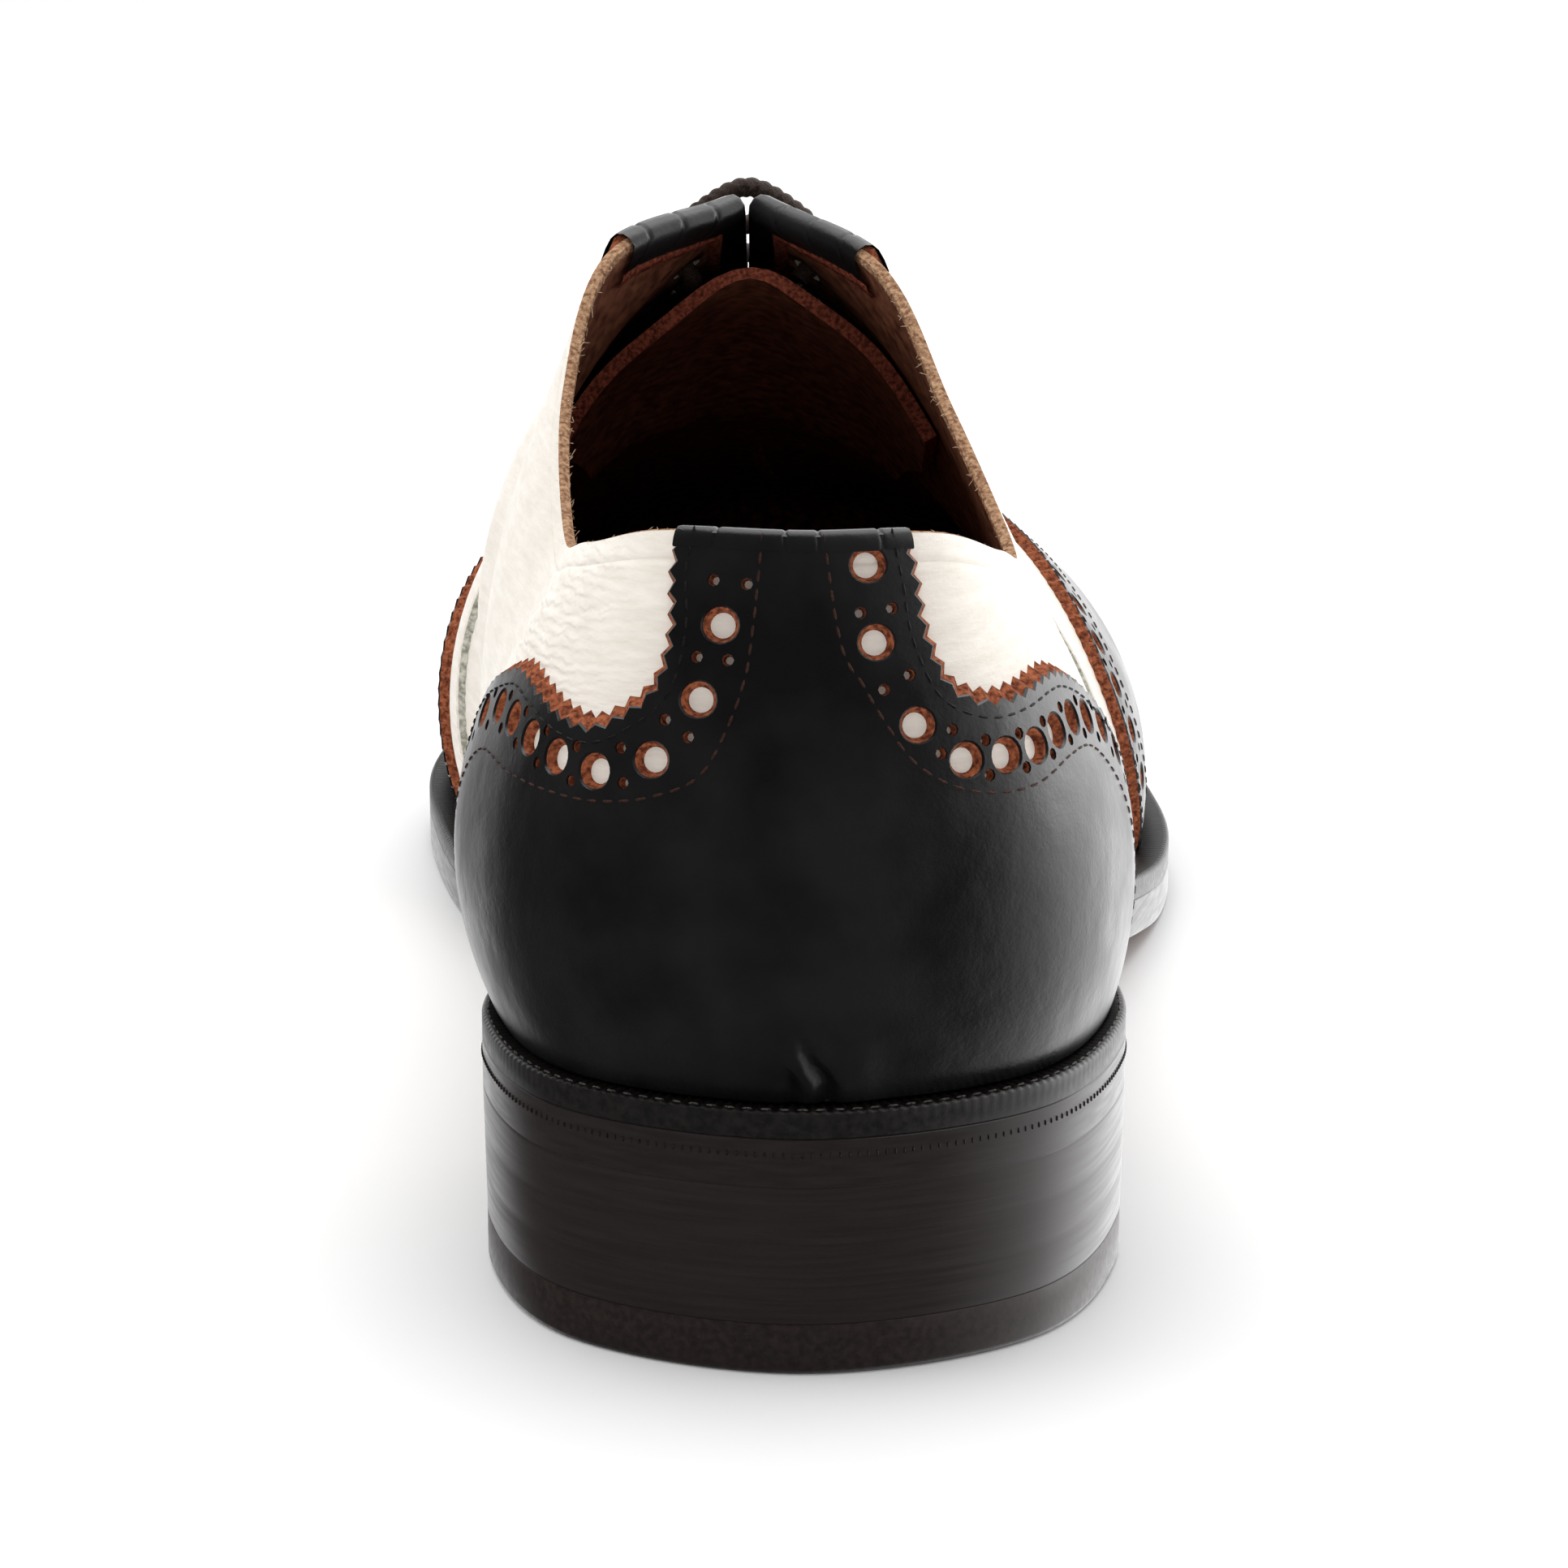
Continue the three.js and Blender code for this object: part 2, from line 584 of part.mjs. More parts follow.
// Lace: one cord that runs bar by bar down the facings and back and forth through the eyelets.
const BAR_OVER = OVERLAY + 2 * GAP + LACE / 2; // middle of a bar over the skin
const RUN_UNDER = WALL + GAP + LACE / 2; // middle of a run under the skin

const BEND = 0.65 * LACE; // radius of the lace's middle where it turns into an eyelet

function lacePath() {
  const path = [];
  const blend = (a, b, share) => ({ u: lerp(a.u, b.u, share), t: lerp(a.t, b.t, share) });
  const at = ({ u, t }, distance) => leather(u, t, distance);
  // A quarter turn at an eyelet, between the hole and a level run towards another place.
  const turn = (hole, target, level, side) => {
    const reach = BEND / skin(hole.u, hole.t).distanceTo(skin(target.u, target.t));
    const half = 1 - Math.SQRT1_2;
    return [
      at(hole, level - side * BEND),
      at(blend(hole, target, reach * half), level - side * BEND * half),
      at(blend(hole, target, reach), level),
    ];
  };
  eyelets.forEach((pair, i) => {
    const [from, to] = i % 2 === 0 ? pair : [pair[1], pair[0]];
    const crest = (spot) => ({ u: spot.u, t: 1 });
    const ridge = leather(from.u, 1, BAR_OVER + 0.6);
    ridge.x = ridgeX(ridge.y);
    if (i === 0) path.push(at(from, -RUN_UNDER));
    path.push(at(from, -WALL / 2), ...turn(from, crest(from), BAR_OVER, 1));
    path.push(at(blend(from, crest(from), 0.62), BAR_OVER), ridge, at(blend(to, crest(to), 0.62), BAR_OVER));
    path.push(...turn(to, crest(to), BAR_OVER, 1).reverse(), at(to, -WALL / 2));
    const next = eyelets[i + 1];
    if (!next) {
      path.push(at(to, -RUN_UNDER));
      return;
    }
    const end = i % 2 === 0 ? next[1] : next[0];
    path.push(...turn(to, end, -RUN_UNDER, -1), at(blend(to, end, 0.5), -RUN_UNDER));
    path.push(...turn(end, to, -RUN_UNDER, -1).reverse());
  });
  return path;
}

function laceGeometry() {
  const path = new THREE.CatmullRomCurve3(lacePath(), false, "centripetal");
  const frames = path.computeFrenetFrames(LACE_ROWS, false);
  const rings = spread(LACE_ROWS).map((s, i) => {
    const middle = path.getPointAt(s);
    return spread(LACE_SIDES).slice(0, -1).map((a) => {
      const angle = 2 * Math.PI * a;
      return middle
        .clone()
        .addScaledVector(frames.normals[i], (LACE / 2) * Math.cos(angle))
        .addScaledVector(frames.binormals[i], (LACE / 2) * Math.sin(angle));
    });
  });
  return tubeGeometry(rings);
}

// A solid from rings of points, capped at both ends.
function tubeGeometry(rings) {
  const tris = [];
  for (let i = 0; i + 1 < rings.length; i++) {
    const [a, b] = [rings[i], rings[i + 1]];
    a.forEach((_, j) => {
      const k = (j + 1) % a.length;
      tris.push(...quad(a[j], a[k], b[k], b[j]));
    });
  }
  const [first, final] = [rings[0], rings[rings.length - 1]];
  for (let j = 1; j + 1 < first.length; j++) {
    tris.push(first[0], first[j + 1], first[j], final[0], final[j], final[j + 1]);
  }
  return geometryOf(tris);
}

addMesh("lace", laceGeometry(), LACE_CORD);

// Sole parts: each is a stack of outlines, from the outer side round the toe or heel to the inner side.
// A level is { inset, up, base }: how far in from the sole's edge, and the height over the base.
const SOLE_STEPS = 36; // spans along each side

// The outlines of a plate as rings that share their stations, closed by rungs across the foot.
function plateGeometry(stations, levels) {
  const rings = levels.map(({ inset, up, base = soleUnder }) =>
    stations.map((u) => {
      const { p } = soleEdge(u, typeof inset === "function" ? inset(u) : inset);
      p.z = base(p.y) + up;
      return p;
    }),
  );
  return stackGeometry(rings);
}

// Closed solid from stacked rings, bottom first, each capped across by rungs.
function stackGeometry(rings) {
  const tris = [];
  const n = rings[0].length;
  for (let i = 0; i + 1 < rings.length; i++) {
    for (let j = 0; j < n; j++) {
      const k = (j + 1) % n;
      tris.push(...quad(rings[i][j], rings[i][k], rings[i + 1][k], rings[i + 1][j]));
    }
  }
  const cap = (ring, up) => {
    for (let j = 0; j < n / 2; j++) {
      const [a, b, c, d] = [ring[j], ring[j + 1], ring[(2 * n - j - 1) % n], ring[(2 * n - j) % n]];
      tris.push(...(up ? quad(a, b, c, d) : quad(d, c, b, a)));
    }
  };
  cap(rings[0], false);
  cap(rings[rings.length - 1], true);
  return geometryOf(tris);
}

const soleStations = spread(2 * SOLE_STEPS, 0, ROUND).slice(0, -1);
const footInset = (more) => (u) => ring(margins, u) + more;
const WELT_UNDER = OUTSOLE + GAP;
const WELT_LIP = 2.5; // of the welt, inside the upper

addMesh(
  "outsole",
  plateGeometry(soleStations, [
    { inset: EDGE_ROUND, up: 0 },
    { inset: 0, up: EDGE_ROUND },
    { inset: 0, up: OUTSOLE - EDGE_ROUND / 2 },
    { inset: EDGE_ROUND / 2, up: OUTSOLE },
  ]),
  BROWN_SOLE,
);

function weltGeometry() {
  const profile = [
    [0, WELT_UNDER],
    [0, WELT_UNDER + WELT],
    [footInset(WALL + WELT_LIP), WELT_UNDER + WELT],
    [footInset(WALL + WELT_LIP), WELT_UNDER],
  ];
  const tris = [];
  const rings = soleStations.map((u) =>
    profile.map(([inset, up]) => {
      const { p } = soleEdge(u, typeof inset === "function" ? inset(u) : inset);
      p.z = soleUnder(p.y) + up;
      return p;
    }),
  );
  rings.forEach((a, i) => {
    const b = rings[(i + 1) % rings.length];
    a.forEach((_, j) => {
      const k = (j + 1) % a.length;
      tris.push(...quad(a[j], b[j], b[k], a[k]));
    });
  });
  return geometryOf(tris);
}

addMesh("welt", weltGeometry(), BLACK_SOLE);

// Insole with the filler under it, which drops inside the welt.
addMesh(
  "insole",
  plateGeometry(soleStations, [
    { inset: footInset(WALL + WELT_LIP + GAP), up: WELT_UNDER },
    { inset: footInset(WALL + WELT_LIP + GAP), up: SEAT },
    { inset: footInset(WALL + 2 * GAP), up: SEAT },
    { inset: footInset(WALL + 2 * GAP), up: SEAT + INSOLE },
  ]),
  BROWN_LEATHER,
);

// Heel: the sole's outline behind the breast, which curves in.
function heelRing(inset, height) {
  const half = (side) => {
    let far = 0;
    while (soleEdge(side > 0 ? far : ROUND - far, 0).p.y < BREAST) far += 0.01;
    return spread(14, 0, far).map((k) => {
      const { p } = soleEdge(side > 0 ? k : (ROUND - k) % ROUND, inset);
      return p;
    });
  };
  const [outer, inner] = [half(1), half(-1)];
  const corners = [outer[outer.length - 1], inner[inner.length - 1]];
  const breast = spread(8).slice(1, -1).map((f) => {
    const p = corners[0].clone().lerp(corners[1], f);
    p.y -= 4 * BREAST_HOLLOW * f * (1 - f);
    return p;
  });
  const points = [...outer, ...breast, ...inner.slice(1).reverse()];
  points.forEach((p) => (p.z = height(p.y)));
  return points;
}

const HEEL_TAPER = 0.3; // the heel is this much narrower on the floor

addMesh(
  "heel_stack",
  stackGeometry([
    heelRing(HEEL_TAPER, () => TOP_PIECE + GAP),
    heelRing(0, (y) => soleUnder(y) - GAP),
  ]),
  BLACK_SOLE,
);
addMesh(
  "heel_top_piece",
  stackGeometry([
    heelRing(HEEL_TAPER + EDGE_ROUND, () => 0),
    heelRing(HEEL_TAPER, () => EDGE_ROUND),
    heelRing(HEEL_TAPER, () => TOP_PIECE),
  ]),
  BLACK_SOLE,
);

const box = new THREE.Box3().setFromObject(root);
const middle = box.getCenter(new THREE.Vector3());
root.children.forEach((mesh) => mesh.geometry.translate(-middle.x, -middle.y, -box.min.z));

export default root;
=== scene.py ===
"""Looks for the spectator oxford, right foot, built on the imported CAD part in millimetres, then metres."""

import math

import bmesh
import bpy
import numpy as np
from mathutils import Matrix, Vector
from mathutils.geometry import delaunay_2d_cdt


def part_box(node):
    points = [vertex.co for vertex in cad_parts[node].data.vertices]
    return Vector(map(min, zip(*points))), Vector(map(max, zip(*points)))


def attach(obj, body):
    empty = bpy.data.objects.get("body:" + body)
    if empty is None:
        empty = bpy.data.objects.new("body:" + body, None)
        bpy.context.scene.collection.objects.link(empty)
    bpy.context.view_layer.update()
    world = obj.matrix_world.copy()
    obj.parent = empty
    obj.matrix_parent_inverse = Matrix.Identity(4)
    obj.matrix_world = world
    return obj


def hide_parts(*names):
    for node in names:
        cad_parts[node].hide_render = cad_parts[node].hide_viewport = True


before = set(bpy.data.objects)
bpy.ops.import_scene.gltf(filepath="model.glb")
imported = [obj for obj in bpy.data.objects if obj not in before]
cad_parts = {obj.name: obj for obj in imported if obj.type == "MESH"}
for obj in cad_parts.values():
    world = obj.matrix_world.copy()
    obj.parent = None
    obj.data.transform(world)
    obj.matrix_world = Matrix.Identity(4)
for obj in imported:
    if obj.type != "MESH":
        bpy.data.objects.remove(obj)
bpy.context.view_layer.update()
random = np.random.default_rng(7)

MM = 0.001

# Driving dimensions, mm: the CAD part's own.
SOLE_LENGTH = 302
BALL_WIDTH = 108
HEEL_WIDTH = 71.6
BACK_HEIGHT = 59
INSTEP_HEIGHT = 88.5
HEEL_RISE = 21
TOE_SPRING = 11
BREAST = 70
BREAST_HOLLOW = 3
OUTSOLE = 5
WELT = 3
TOP_PIECE = 5.7
INSOLE = 2.2
WALL = 1.5
VAMP = 0.7
OVERLAY = 0.9
TONGUE = 1.8
GAP = 0.35
SLIT = 3
EYELETS = 5
EYELET_RADIUS = 2
EYELET_PITCH = 12.4
EYELET_FROM_TOP = 7.5
EYELET_FROM_EDGE = 8.5
LACE = 2.6
SEAT = OUTSOLE + WELT + 2 * GAP


def table(columns, rows):
    """A table's rows as one array for each named column."""
    return dict(zip(columns.split(), np.array(rows, float).T))


# Sole outline from the heel back to the toe: along as a share of SOLE_LENGTH, out as shares of
# HEEL_WIDTH and BALL_WIDTH, which add up. margin is the welt beyond the upper's foot.
OUTLINE = table("out_along out_heel out_ball in_along in_heel in_ball margin", [
    [0.0, 0, 0, 0.0, 0, 0, 3.6],
    [0.0345, 0.353, 0, 0.0345, -0.353, 0, 3.4],
    [0.1125, 0.5, 0, 0.1125, -0.494, 0, 3.0],
    [0.199, 0.494, 0, 0.199, -0.47, 0, 3.0],
    [0.275, 0.475, 0, 0.275, -0.422, 0, 3.4],
    [0.331, 0.24, 0.158, 0.331, -0.2, -0.133, 3.8],
    [0.3775, 0.12, 0.254, 0.381, -0.1, -0.2, 4.2],
    [0.424, 0, 0.363, 0.434, 0, -0.292, 4.6],
    [0.4735, 0, 0.401, 0.49, 0, -0.345, 5.0],
    [0.546, 0, 0.458, 0.566, 0, -0.43, 5.6],
    [0.626, 0, 0.4965, 0.66, 0, -0.489, 6.0],
    [0.712, 0, 0.49, 0.748, 0, -0.512, 6.2],
    [0.8045, 0, 0.444, 0.834, 0, -0.461, 6.2],
    [0.893, 0, 0.356, 0.905, 0, -0.372, 6.1],
    [0.9645, 0, 0.216, 0.9685, 0, -0.24, 6.0],
    [1.0, 0, -0.014, 1.0, 0, -0.014, 6.0],
])

# Each section's curve, from the welt to the top edge: lean in degrees and reach as a share of the chord.
SECTION_COLUMNS = "low_lean low_reach high_lean high_reach"
OUTER_SECTIONS = table(SECTION_COLUMNS, [
    [22, 0.36, 14, 0.36],
    [24, 0.36, 22, 0.36],
    [18, 0.38, 34, 0.36],
    [22, 0.38, 30, 0.34],
    [20, 0.36, 20, 0.34],
    [9, 0.38, 23, 0.28],
    [4, 0.4, 56, 0.26],
    [2, 0.38, 70, 0.27],
    [4, 0.39, 80, 0.33],
    [6, 0.37, 88, 0.36],
    [11, 0.37, 90, 0.38],
    [18, 0.39, 90, 0.4],
    [21, 0.4, 90, 0.42],
    [20, 0.42, 90, 0.44],
    [17, 0.44, 90, 0.46],
    [14, 0.45, 90, 0.48],
])
INNER_SECTIONS = table(SECTION_COLUMNS, [
    [22, 0.36, 14, 0.36],
    [24, 0.36, 22, 0.36],
    [26, 0.38, 34, 0.36],
    [44, 0.4, 25, 0.34],
    [44, 0.46, 20, 0.35],
    [46, 0.46, 22, 0.27],
    [45, 0.46, 55, 0.36],
    [48, 0.48, 78, 0.46],
    [42, 0.48, 84, 0.54],
    [33, 0.46, 88, 0.56],
    [21, 0.43, 90, 0.48],
    [18, 0.42, 90, 0.42],
    [19, 0.41, 90, 0.43],
    [19, 0.42, 90, 0.44],
    [17, 0.44, 90, 0.46],
    [14, 0.45, 90, 0.48],
])

# Collar edge: along as a share of SOLE_LENGTH, out of HEEL_WIDTH, height of BACK_HEIGHT + INSTEP_HEIGHT.
COLLAR = table("out_along out_out out_back out_instep in_along in_out in_back in_instep", [
    [0.0315, 0, 1.0, 0, 0.0315, 0, 1.0, 0],
    [0.05, 0.2, 0.985, 0, 0.05, -0.21, 0.99, 0],
    [0.113, 0.3, 0.89, 0, 0.113, -0.325, 0.905, 0],
    [0.186, 0.336, 0.83, 0, 0.186, -0.375, 0.855, 0],
    [0.262, 0.25, 0.5, 0.37, 0.262, -0.39, 0.5, 0.39],
    [0.319, 0.14, 0, 0.9, 0.319, -0.325, 0, 0.917],
])

# Ridge over the instep and toes: shares of SOLE_LENGTH, BALL_WIDTH and INSTEP_HEIGHT.
RIDGE = table("along out height", [
    [0.3675, -0.06, 1.0],
    [0.48, -0.06, 0.909],
    [0.589, -0.06, 0.765],
    [0.679, -0.056, 0.63],
    [0.768, -0.045, 0.51],
    [0.868, -0.022, 0.39],
])
RIDGE_AT = np.array([0.3675, 0.48, 0.589, 0.652, 0.709, 0.758, 0.8045, 0.841, 0.8615, 0.868])

# Underside of the outsole: shares of SOLE_LENGTH, HEEL_RISE and TOE_SPRING.
PROFILE = table("along heel toe", [
    [0.0, 1.0, 0],
    [0.12, 0.99, 0],
    [0.24, 0.93, 0],
    [0.32, 0.74, 0],
    [0.42, 0.42, 0],
    [0.52, 0.13, 0],
    [0.59, 0, 0],
    [0.69, 0, 0],
    [0.78, 0, 0.16],
    [0.87, 0, 0.43],
    [0.94, 0, 0.71],
    [1.0, 0, 1.0],
])

CORNER_ROW = len(COLLAR["out_along"])
THROAT_ROW = CORNER_ROW + 2
TOE_ROW = len(OUTLINE["margin"]) - 1
ROUND = 2 * TOE_ROW


# The upper's surface, for arrays of u, rows round the shoe from the heel back, and t, 0 at the welt.
def hermite(a, b, c, d, f):
    """Catmull-Rom between b and c, at a share f of the way."""
    return b + 0.5 * f * (c - a + f * (2 * a - 5 * b + 4 * c - d + f * (3 * (b - c) + d - a)))


def ring(values, u):
    """Catmull-Rom through a ring of evenly spaced values."""
    i = np.floor(u).astype(int)
    return hermite(*[values[(i + k) % len(values)] for k in (-1, 0, 1, 2)], u - i)


def strip(values, u):
    """Catmull-Rom through an open row of evenly spaced values."""
    padded = np.concatenate([[2 * values[0] - values[1]], values, [2 * values[-1] - values[-2]]])
    i = np.clip(np.floor(u).astype(int), 0, len(values) - 2)
    return hermite(*[padded[i + k] for k in range(4)], u - i)


def curve(knots, values, x):
    """Monotone cubic through knots, straight beyond the ends."""
    gaps = np.diff(knots)
    rates = np.diff(values) / gaps
    s, t = rates[:-1], rates[1:]
    both = np.where(s * t > 0, 2 * s * t / np.where(s + t == 0, 1, s + t), 0)
    tangents = np.concatenate([rates[:1], both, rates[-1:]])
    i = np.clip(np.searchsorted(knots, x, side="right") - 1, 0, len(gaps) - 1)
    f = (x - knots[i]) / gaps[i]
    p, q, m, n = values[i], values[i + 1], tangents[i] * gaps[i], tangents[i + 1] * gaps[i]
    inside = p + f * (m + f * (3 * (q - p) - 2 * m - n + f * (2 * (p - q) + m + n)))
    return np.where(f < 0, p + m * f, np.where(f > 1, q + n * (f - 1), inside))


def around(outside, inside):
    """The columns of both sides as one ring: outer side out, inner side back."""
    return np.concatenate([outside, inside[1:-1][::-1]])


SOLE_X = around(
    OUTLINE["out_heel"] * HEEL_WIDTH + OUTLINE["out_ball"] * BALL_WIDTH,
    OUTLINE["in_heel"] * HEEL_WIDTH + OUTLINE["in_ball"] * BALL_WIDTH,
)
SOLE_Y = around(OUTLINE["out_along"], OUTLINE["in_along"]) * SOLE_LENGTH
MARGINS = around(OUTLINE["margin"], OUTLINE["margin"])
SECTIONS = {name: around(OUTER_SECTIONS[name], INNER_SECTIONS[name]) for name in OUTER_SECTIONS}


def sole_under(y):
    """Height of the outsole's underside."""
    heights = PROFILE["heel"] * HEEL_RISE + PROFILE["toe"] * TOE_SPRING
    return np.maximum(0, curve(PROFILE["along"] * SOLE_LENGTH, heights, y))


def seat(y):
    """Height of the welt's top, on which the upper stands."""
    return sole_under(y) + SEAT


def ridge_x(y):
    return curve(RIDGE["along"] * SOLE_LENGTH, RIDGE["out"] * BALL_WIDTH, y)


def ridge_z(y):
    return seat(y) + curve(RIDGE["along"] * SOLE_LENGTH, RIDGE["height"] * INSTEP_HEIGHT, y)


def ridge_slope(y):
    return ridge_z(y + 0.5) - ridge_z(y - 0.5)


def row_of(u):
    """Rows from the heel's back to the toe, counted on either side."""
    u = u % ROUND
    return np.where(u <= TOE_ROW, u, ROUND - u)


def side_of(u):
    """1 on the outer side, -1 on the inner one."""
    return np.where(u % ROUND <= TOE_ROW, 1, -1)


def points(x, y, z):
    return np.stack(np.broadcast_arrays(x, y, z), axis=-1).astype(float)


def unit(v):
    return v / np.maximum(np.linalg.norm(v, axis=-1, keepdims=True), 1e-12)


def sole_edge(u, inset=0.0):
    """Points of the sole's outline moved in by inset, and its outward direction."""
    step = 0.01
    across = ring(SOLE_Y, u + step) - ring(SOLE_Y, u - step)
    along = ring(SOLE_X, u + step) - ring(SOLE_X, u - step)
    outward = unit(points(across, -along, 0))
    line = points(ring(SOLE_X, u), ring(SOLE_Y, u), 0)
    return line - outward * np.asarray(inset)[..., None], outward


def half_slit(k):
    """Half the gap between the facings, which closes at the throat."""
    return SLIT / 2 * np.sqrt(np.clip((THROAT_ROW - k) / (THROAT_ROW - CORNER_ROW), 0, 1))


def collar_point(k, side, name, other):
    def column(part, end):
        values = np.concatenate([[COLLAR[other + part][1]], COLLAR[name + part], [end]])
        return strip(values, k + 1)

    corner_out = (RIDGE["out"][0] * BALL_WIDTH + side * half_slit(CORNER_ROW)) / HEEL_WIDTH
    y = column("along", RIDGE["along"][0]) * SOLE_LENGTH
    height = column("back", 0) * BACK_HEIGHT + column("instep", 1) * INSTEP_HEIGHT
    return points(column("out", corner_out) * HEEL_WIDTH, y, seat(y) + height)


def top_point(u):
    """Top edge of the upper: the collar, then the facing's edge, then the ridge."""
    k, side = row_of(u), side_of(u)
    collar_k = np.clip(k, 0, CORNER_ROW)
    outside = collar_point(collar_k, 1, "out_", "in_")
    inside = collar_point(collar_k, -1, "in_", "out_")
    collar = np.where(side[..., None] > 0, outside, inside)
    y = strip(RIDGE_AT, np.maximum(k, CORNER_ROW) - CORNER_ROW) * SOLE_LENGTH
    ridge = points(ridge_x(y) + side * half_slit(np.maximum(k, CORNER_ROW)), y, ridge_z(y))
    return np.where(k[..., None] >= CORNER_ROW, ridge, collar)


def clamp(x, start, end):
    """How far x has come from start to end, 0 to 1."""
    return np.clip((x - start) / (end - start), 0, 1)


def smooth(x, start, end):
    f = clamp(x, start, end)
    return f * f * (3 - 2 * f)


def section(u):
    """Foot, two handles and top of the section's curve at u."""
    foot, outward = sole_edge(u, ring(MARGINS, u))
    foot[..., 2] = seat(foot[..., 1])
    top = top_point(u)
    chord = np.linalg.norm(foot - top, axis=-1)

    def handle(start, away, name, up):
        lean = np.radians(ring(SECTIONS[name + "_lean"], u))
        reach = ring(SECTIONS[name + "_reach"], u) * chord
        point = start + away * (reach * np.sin(lean))[..., None]
        point[..., 2] += up * reach * np.cos(lean)
        return point

    fan = smooth(row_of(u), 4, 7)[..., None]
    to_foot = foot - top
    to_foot[..., 2] = 0
    away = unit(outward * (1 - fan) + unit(to_foot) * fan)
    slope = ridge_slope(np.maximum(top[..., 1], RIDGE["along"][0] * SOLE_LENGTH)) * fan[..., 0]
    away[..., 2] = away[..., 1] * slope
    return foot, handle(foot, outward, "low", 1), handle(top, away, "high", -1), top


def skin(u, t):
    a, b, c, d = section(u)
    t = t[..., None]
    s = 1 - t
    return a * s**3 + 3 * b * s * s * t + 3 * c * s * t * t + d * t**3


def slopes(u, t):
    """How the skin moves with u and with t."""
    a, b, c, d = section(u)
    s, q = 1 - t[..., None], t[..., None]
    up = 3 * ((b - a) * s * s + 2 * (c - b) * s * q + (d - c) * q * q)
    step = 0.02
    return (skin(u + step, t) - skin(u - step, t)) / (2 * step), up


def normal(u, t):
    """Outward unit normal of the skin. On the ridge it is the ridge's own."""
    k = row_of(u)
    across, up = slopes(u, np.minimum(t, 0.98))
    n = unit(np.cross(across, up))
    slope = ridge_slope(top_point(u)[..., 1])
    crest = unit(points(0 * slope, -slope, 1 + 0 * slope))
    share = (smooth(t, 0.93, 1) * (k >= THROAT_ROW))[..., None]
    return unit(n * (1 - share) + crest * share)


def fold(spots):
    """Spots that pass over the ridge come down on its other side."""
    u, t = spots[..., 0], spots[..., 1]
    over = (t > 1) & (row_of(u) > THROAT_ROW)
    return np.stack([np.where(over, ROUND - u, u), np.where(over, 2 - t, t)], axis=-1)


def leather(spots, distance=0.0):
    """Points out from the skin at spots of u and t. None is lower than the welt."""
    spots = fold(np.asarray(spots, float))
    u, t = spots[..., 0], spots[..., 1]
    p = skin(u, t) + normal(u, t) * np.asarray(distance, float)[..., None]
    floor = seat(p[..., 1])
    p[..., 2] = np.where(t <= 0, floor, np.maximum(p[..., 2], floor))
    return p


# Lines and rings of spots on the skin
def nudge(spots, moves):
    """Spots moved along the skin by vectors in mm."""
    across, up = slopes(spots[..., 0], spots[..., 1])
    aa, ab, bb = (across * across).sum(-1), (across * up).sum(-1), (up * up).sum(-1)
    am, bm = (across * moves).sum(-1), (up * moves).sum(-1)
    area = aa * bb - ab * ab
    return spots + np.stack([(bb * am - ab * bm) / area, (aa * bm - ab * am) / area], axis=-1)


def spaced(knots, pitch):
    """A smooth line through (u, t) knots, as spots a pitch apart on the skin."""
    knots = np.array(knots, float)
    steps = np.linspace(0, len(knots) - 1, 40 * (len(knots) - 1) + 1)
    fine = np.stack([strip(knots[:, 0], steps), strip(knots[:, 1], steps)], axis=-1)
    lengths = np.linalg.norm(np.diff(leather(fine), axis=0), axis=1)
    at = np.concatenate([[0], np.cumsum(lengths)])
    marks = np.linspace(0, at[-1], max(3, round(at[-1] / pitch) + 1))
    return np.stack([np.interp(marks, at, fine[:, 0]), np.interp(marks, at, fine[:, 1])], axis=-1)


def left_of(line):
    """Unit vectors along the skin, to the left of a line of spots as seen from outside."""
    along = np.gradient(leather(line), axis=0)
    return unit(np.cross(normal(line[..., 0], line[..., 1]), along))


def beside(knots, distance, pitch=1.0):
    """A line on the skin, a distance to the left of the line through the knots."""
    line = spaced(knots, pitch)
    return nudge(line, left_of(line) * distance)


def circle(centre, radius, count):
    """A ring of spots round a centre, counter-clockwise as seen from outside."""
    centre = np.asarray(centre, float)
    across, _ = slopes(centre[0], centre[1])
    out = normal(centre[0], centre[1])
    east = unit(across - out * (across * out).sum())
    north = np.cross(out, east)
    angle = np.linspace(0, 2 * math.pi, count, endpoint=False)[:, None]
    return nudge(np.tile(centre, (count, 1)), radius * (np.cos(angle) * east + np.sin(angle) * north))


# Meshes
WELT_COLUMNS = 72  # the CAD welt's own
WELT_LINE, _ = sole_edge(np.linspace(0, ROUND, WELT_COLUMNS + 1)[:-1])
WELT_LOW = np.array(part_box("welt")[0]) / MM
SHIFT = np.array([*(WELT_LOW[:2] - WELT_LINE[:, :2].min(axis=0)), 0])  # from shoe to frame


def mesh_object(name, vertices, faces, paints, paint_of=None, crease=40):
    """An object from points in shoe millimetres. paint_of holds each face's number in paints."""
    mesh = bpy.data.meshes.new(name)
    mesh.from_pydata(((vertices + SHIFT) * MM).tolist(), [], [list(map(int, f)) for f in faces])
    for material in paints:
        mesh.materials.append(material)
    if paint_of is not None:
        mesh.polygons.foreach_set("material_index", np.array(paint_of, dtype=np.int32))
    join_doubles(mesh)
    mesh.polygons.foreach_set("use_smooth", np.ones(len(mesh.polygons), dtype=bool))
    mesh.set_sharp_from_angle(angle=math.radians(crease))
    mesh.update()
    made = bpy.data.objects.new(name, mesh)
    bpy.context.collection.objects.link(made)
    return made


def join_doubles(mesh):
    work = bmesh.new()
    work.from_mesh(mesh)
    bmesh.ops.remove_doubles(work, verts=work.verts, dist=0.004 * MM)
    work.to_mesh(mesh)
    work.free()


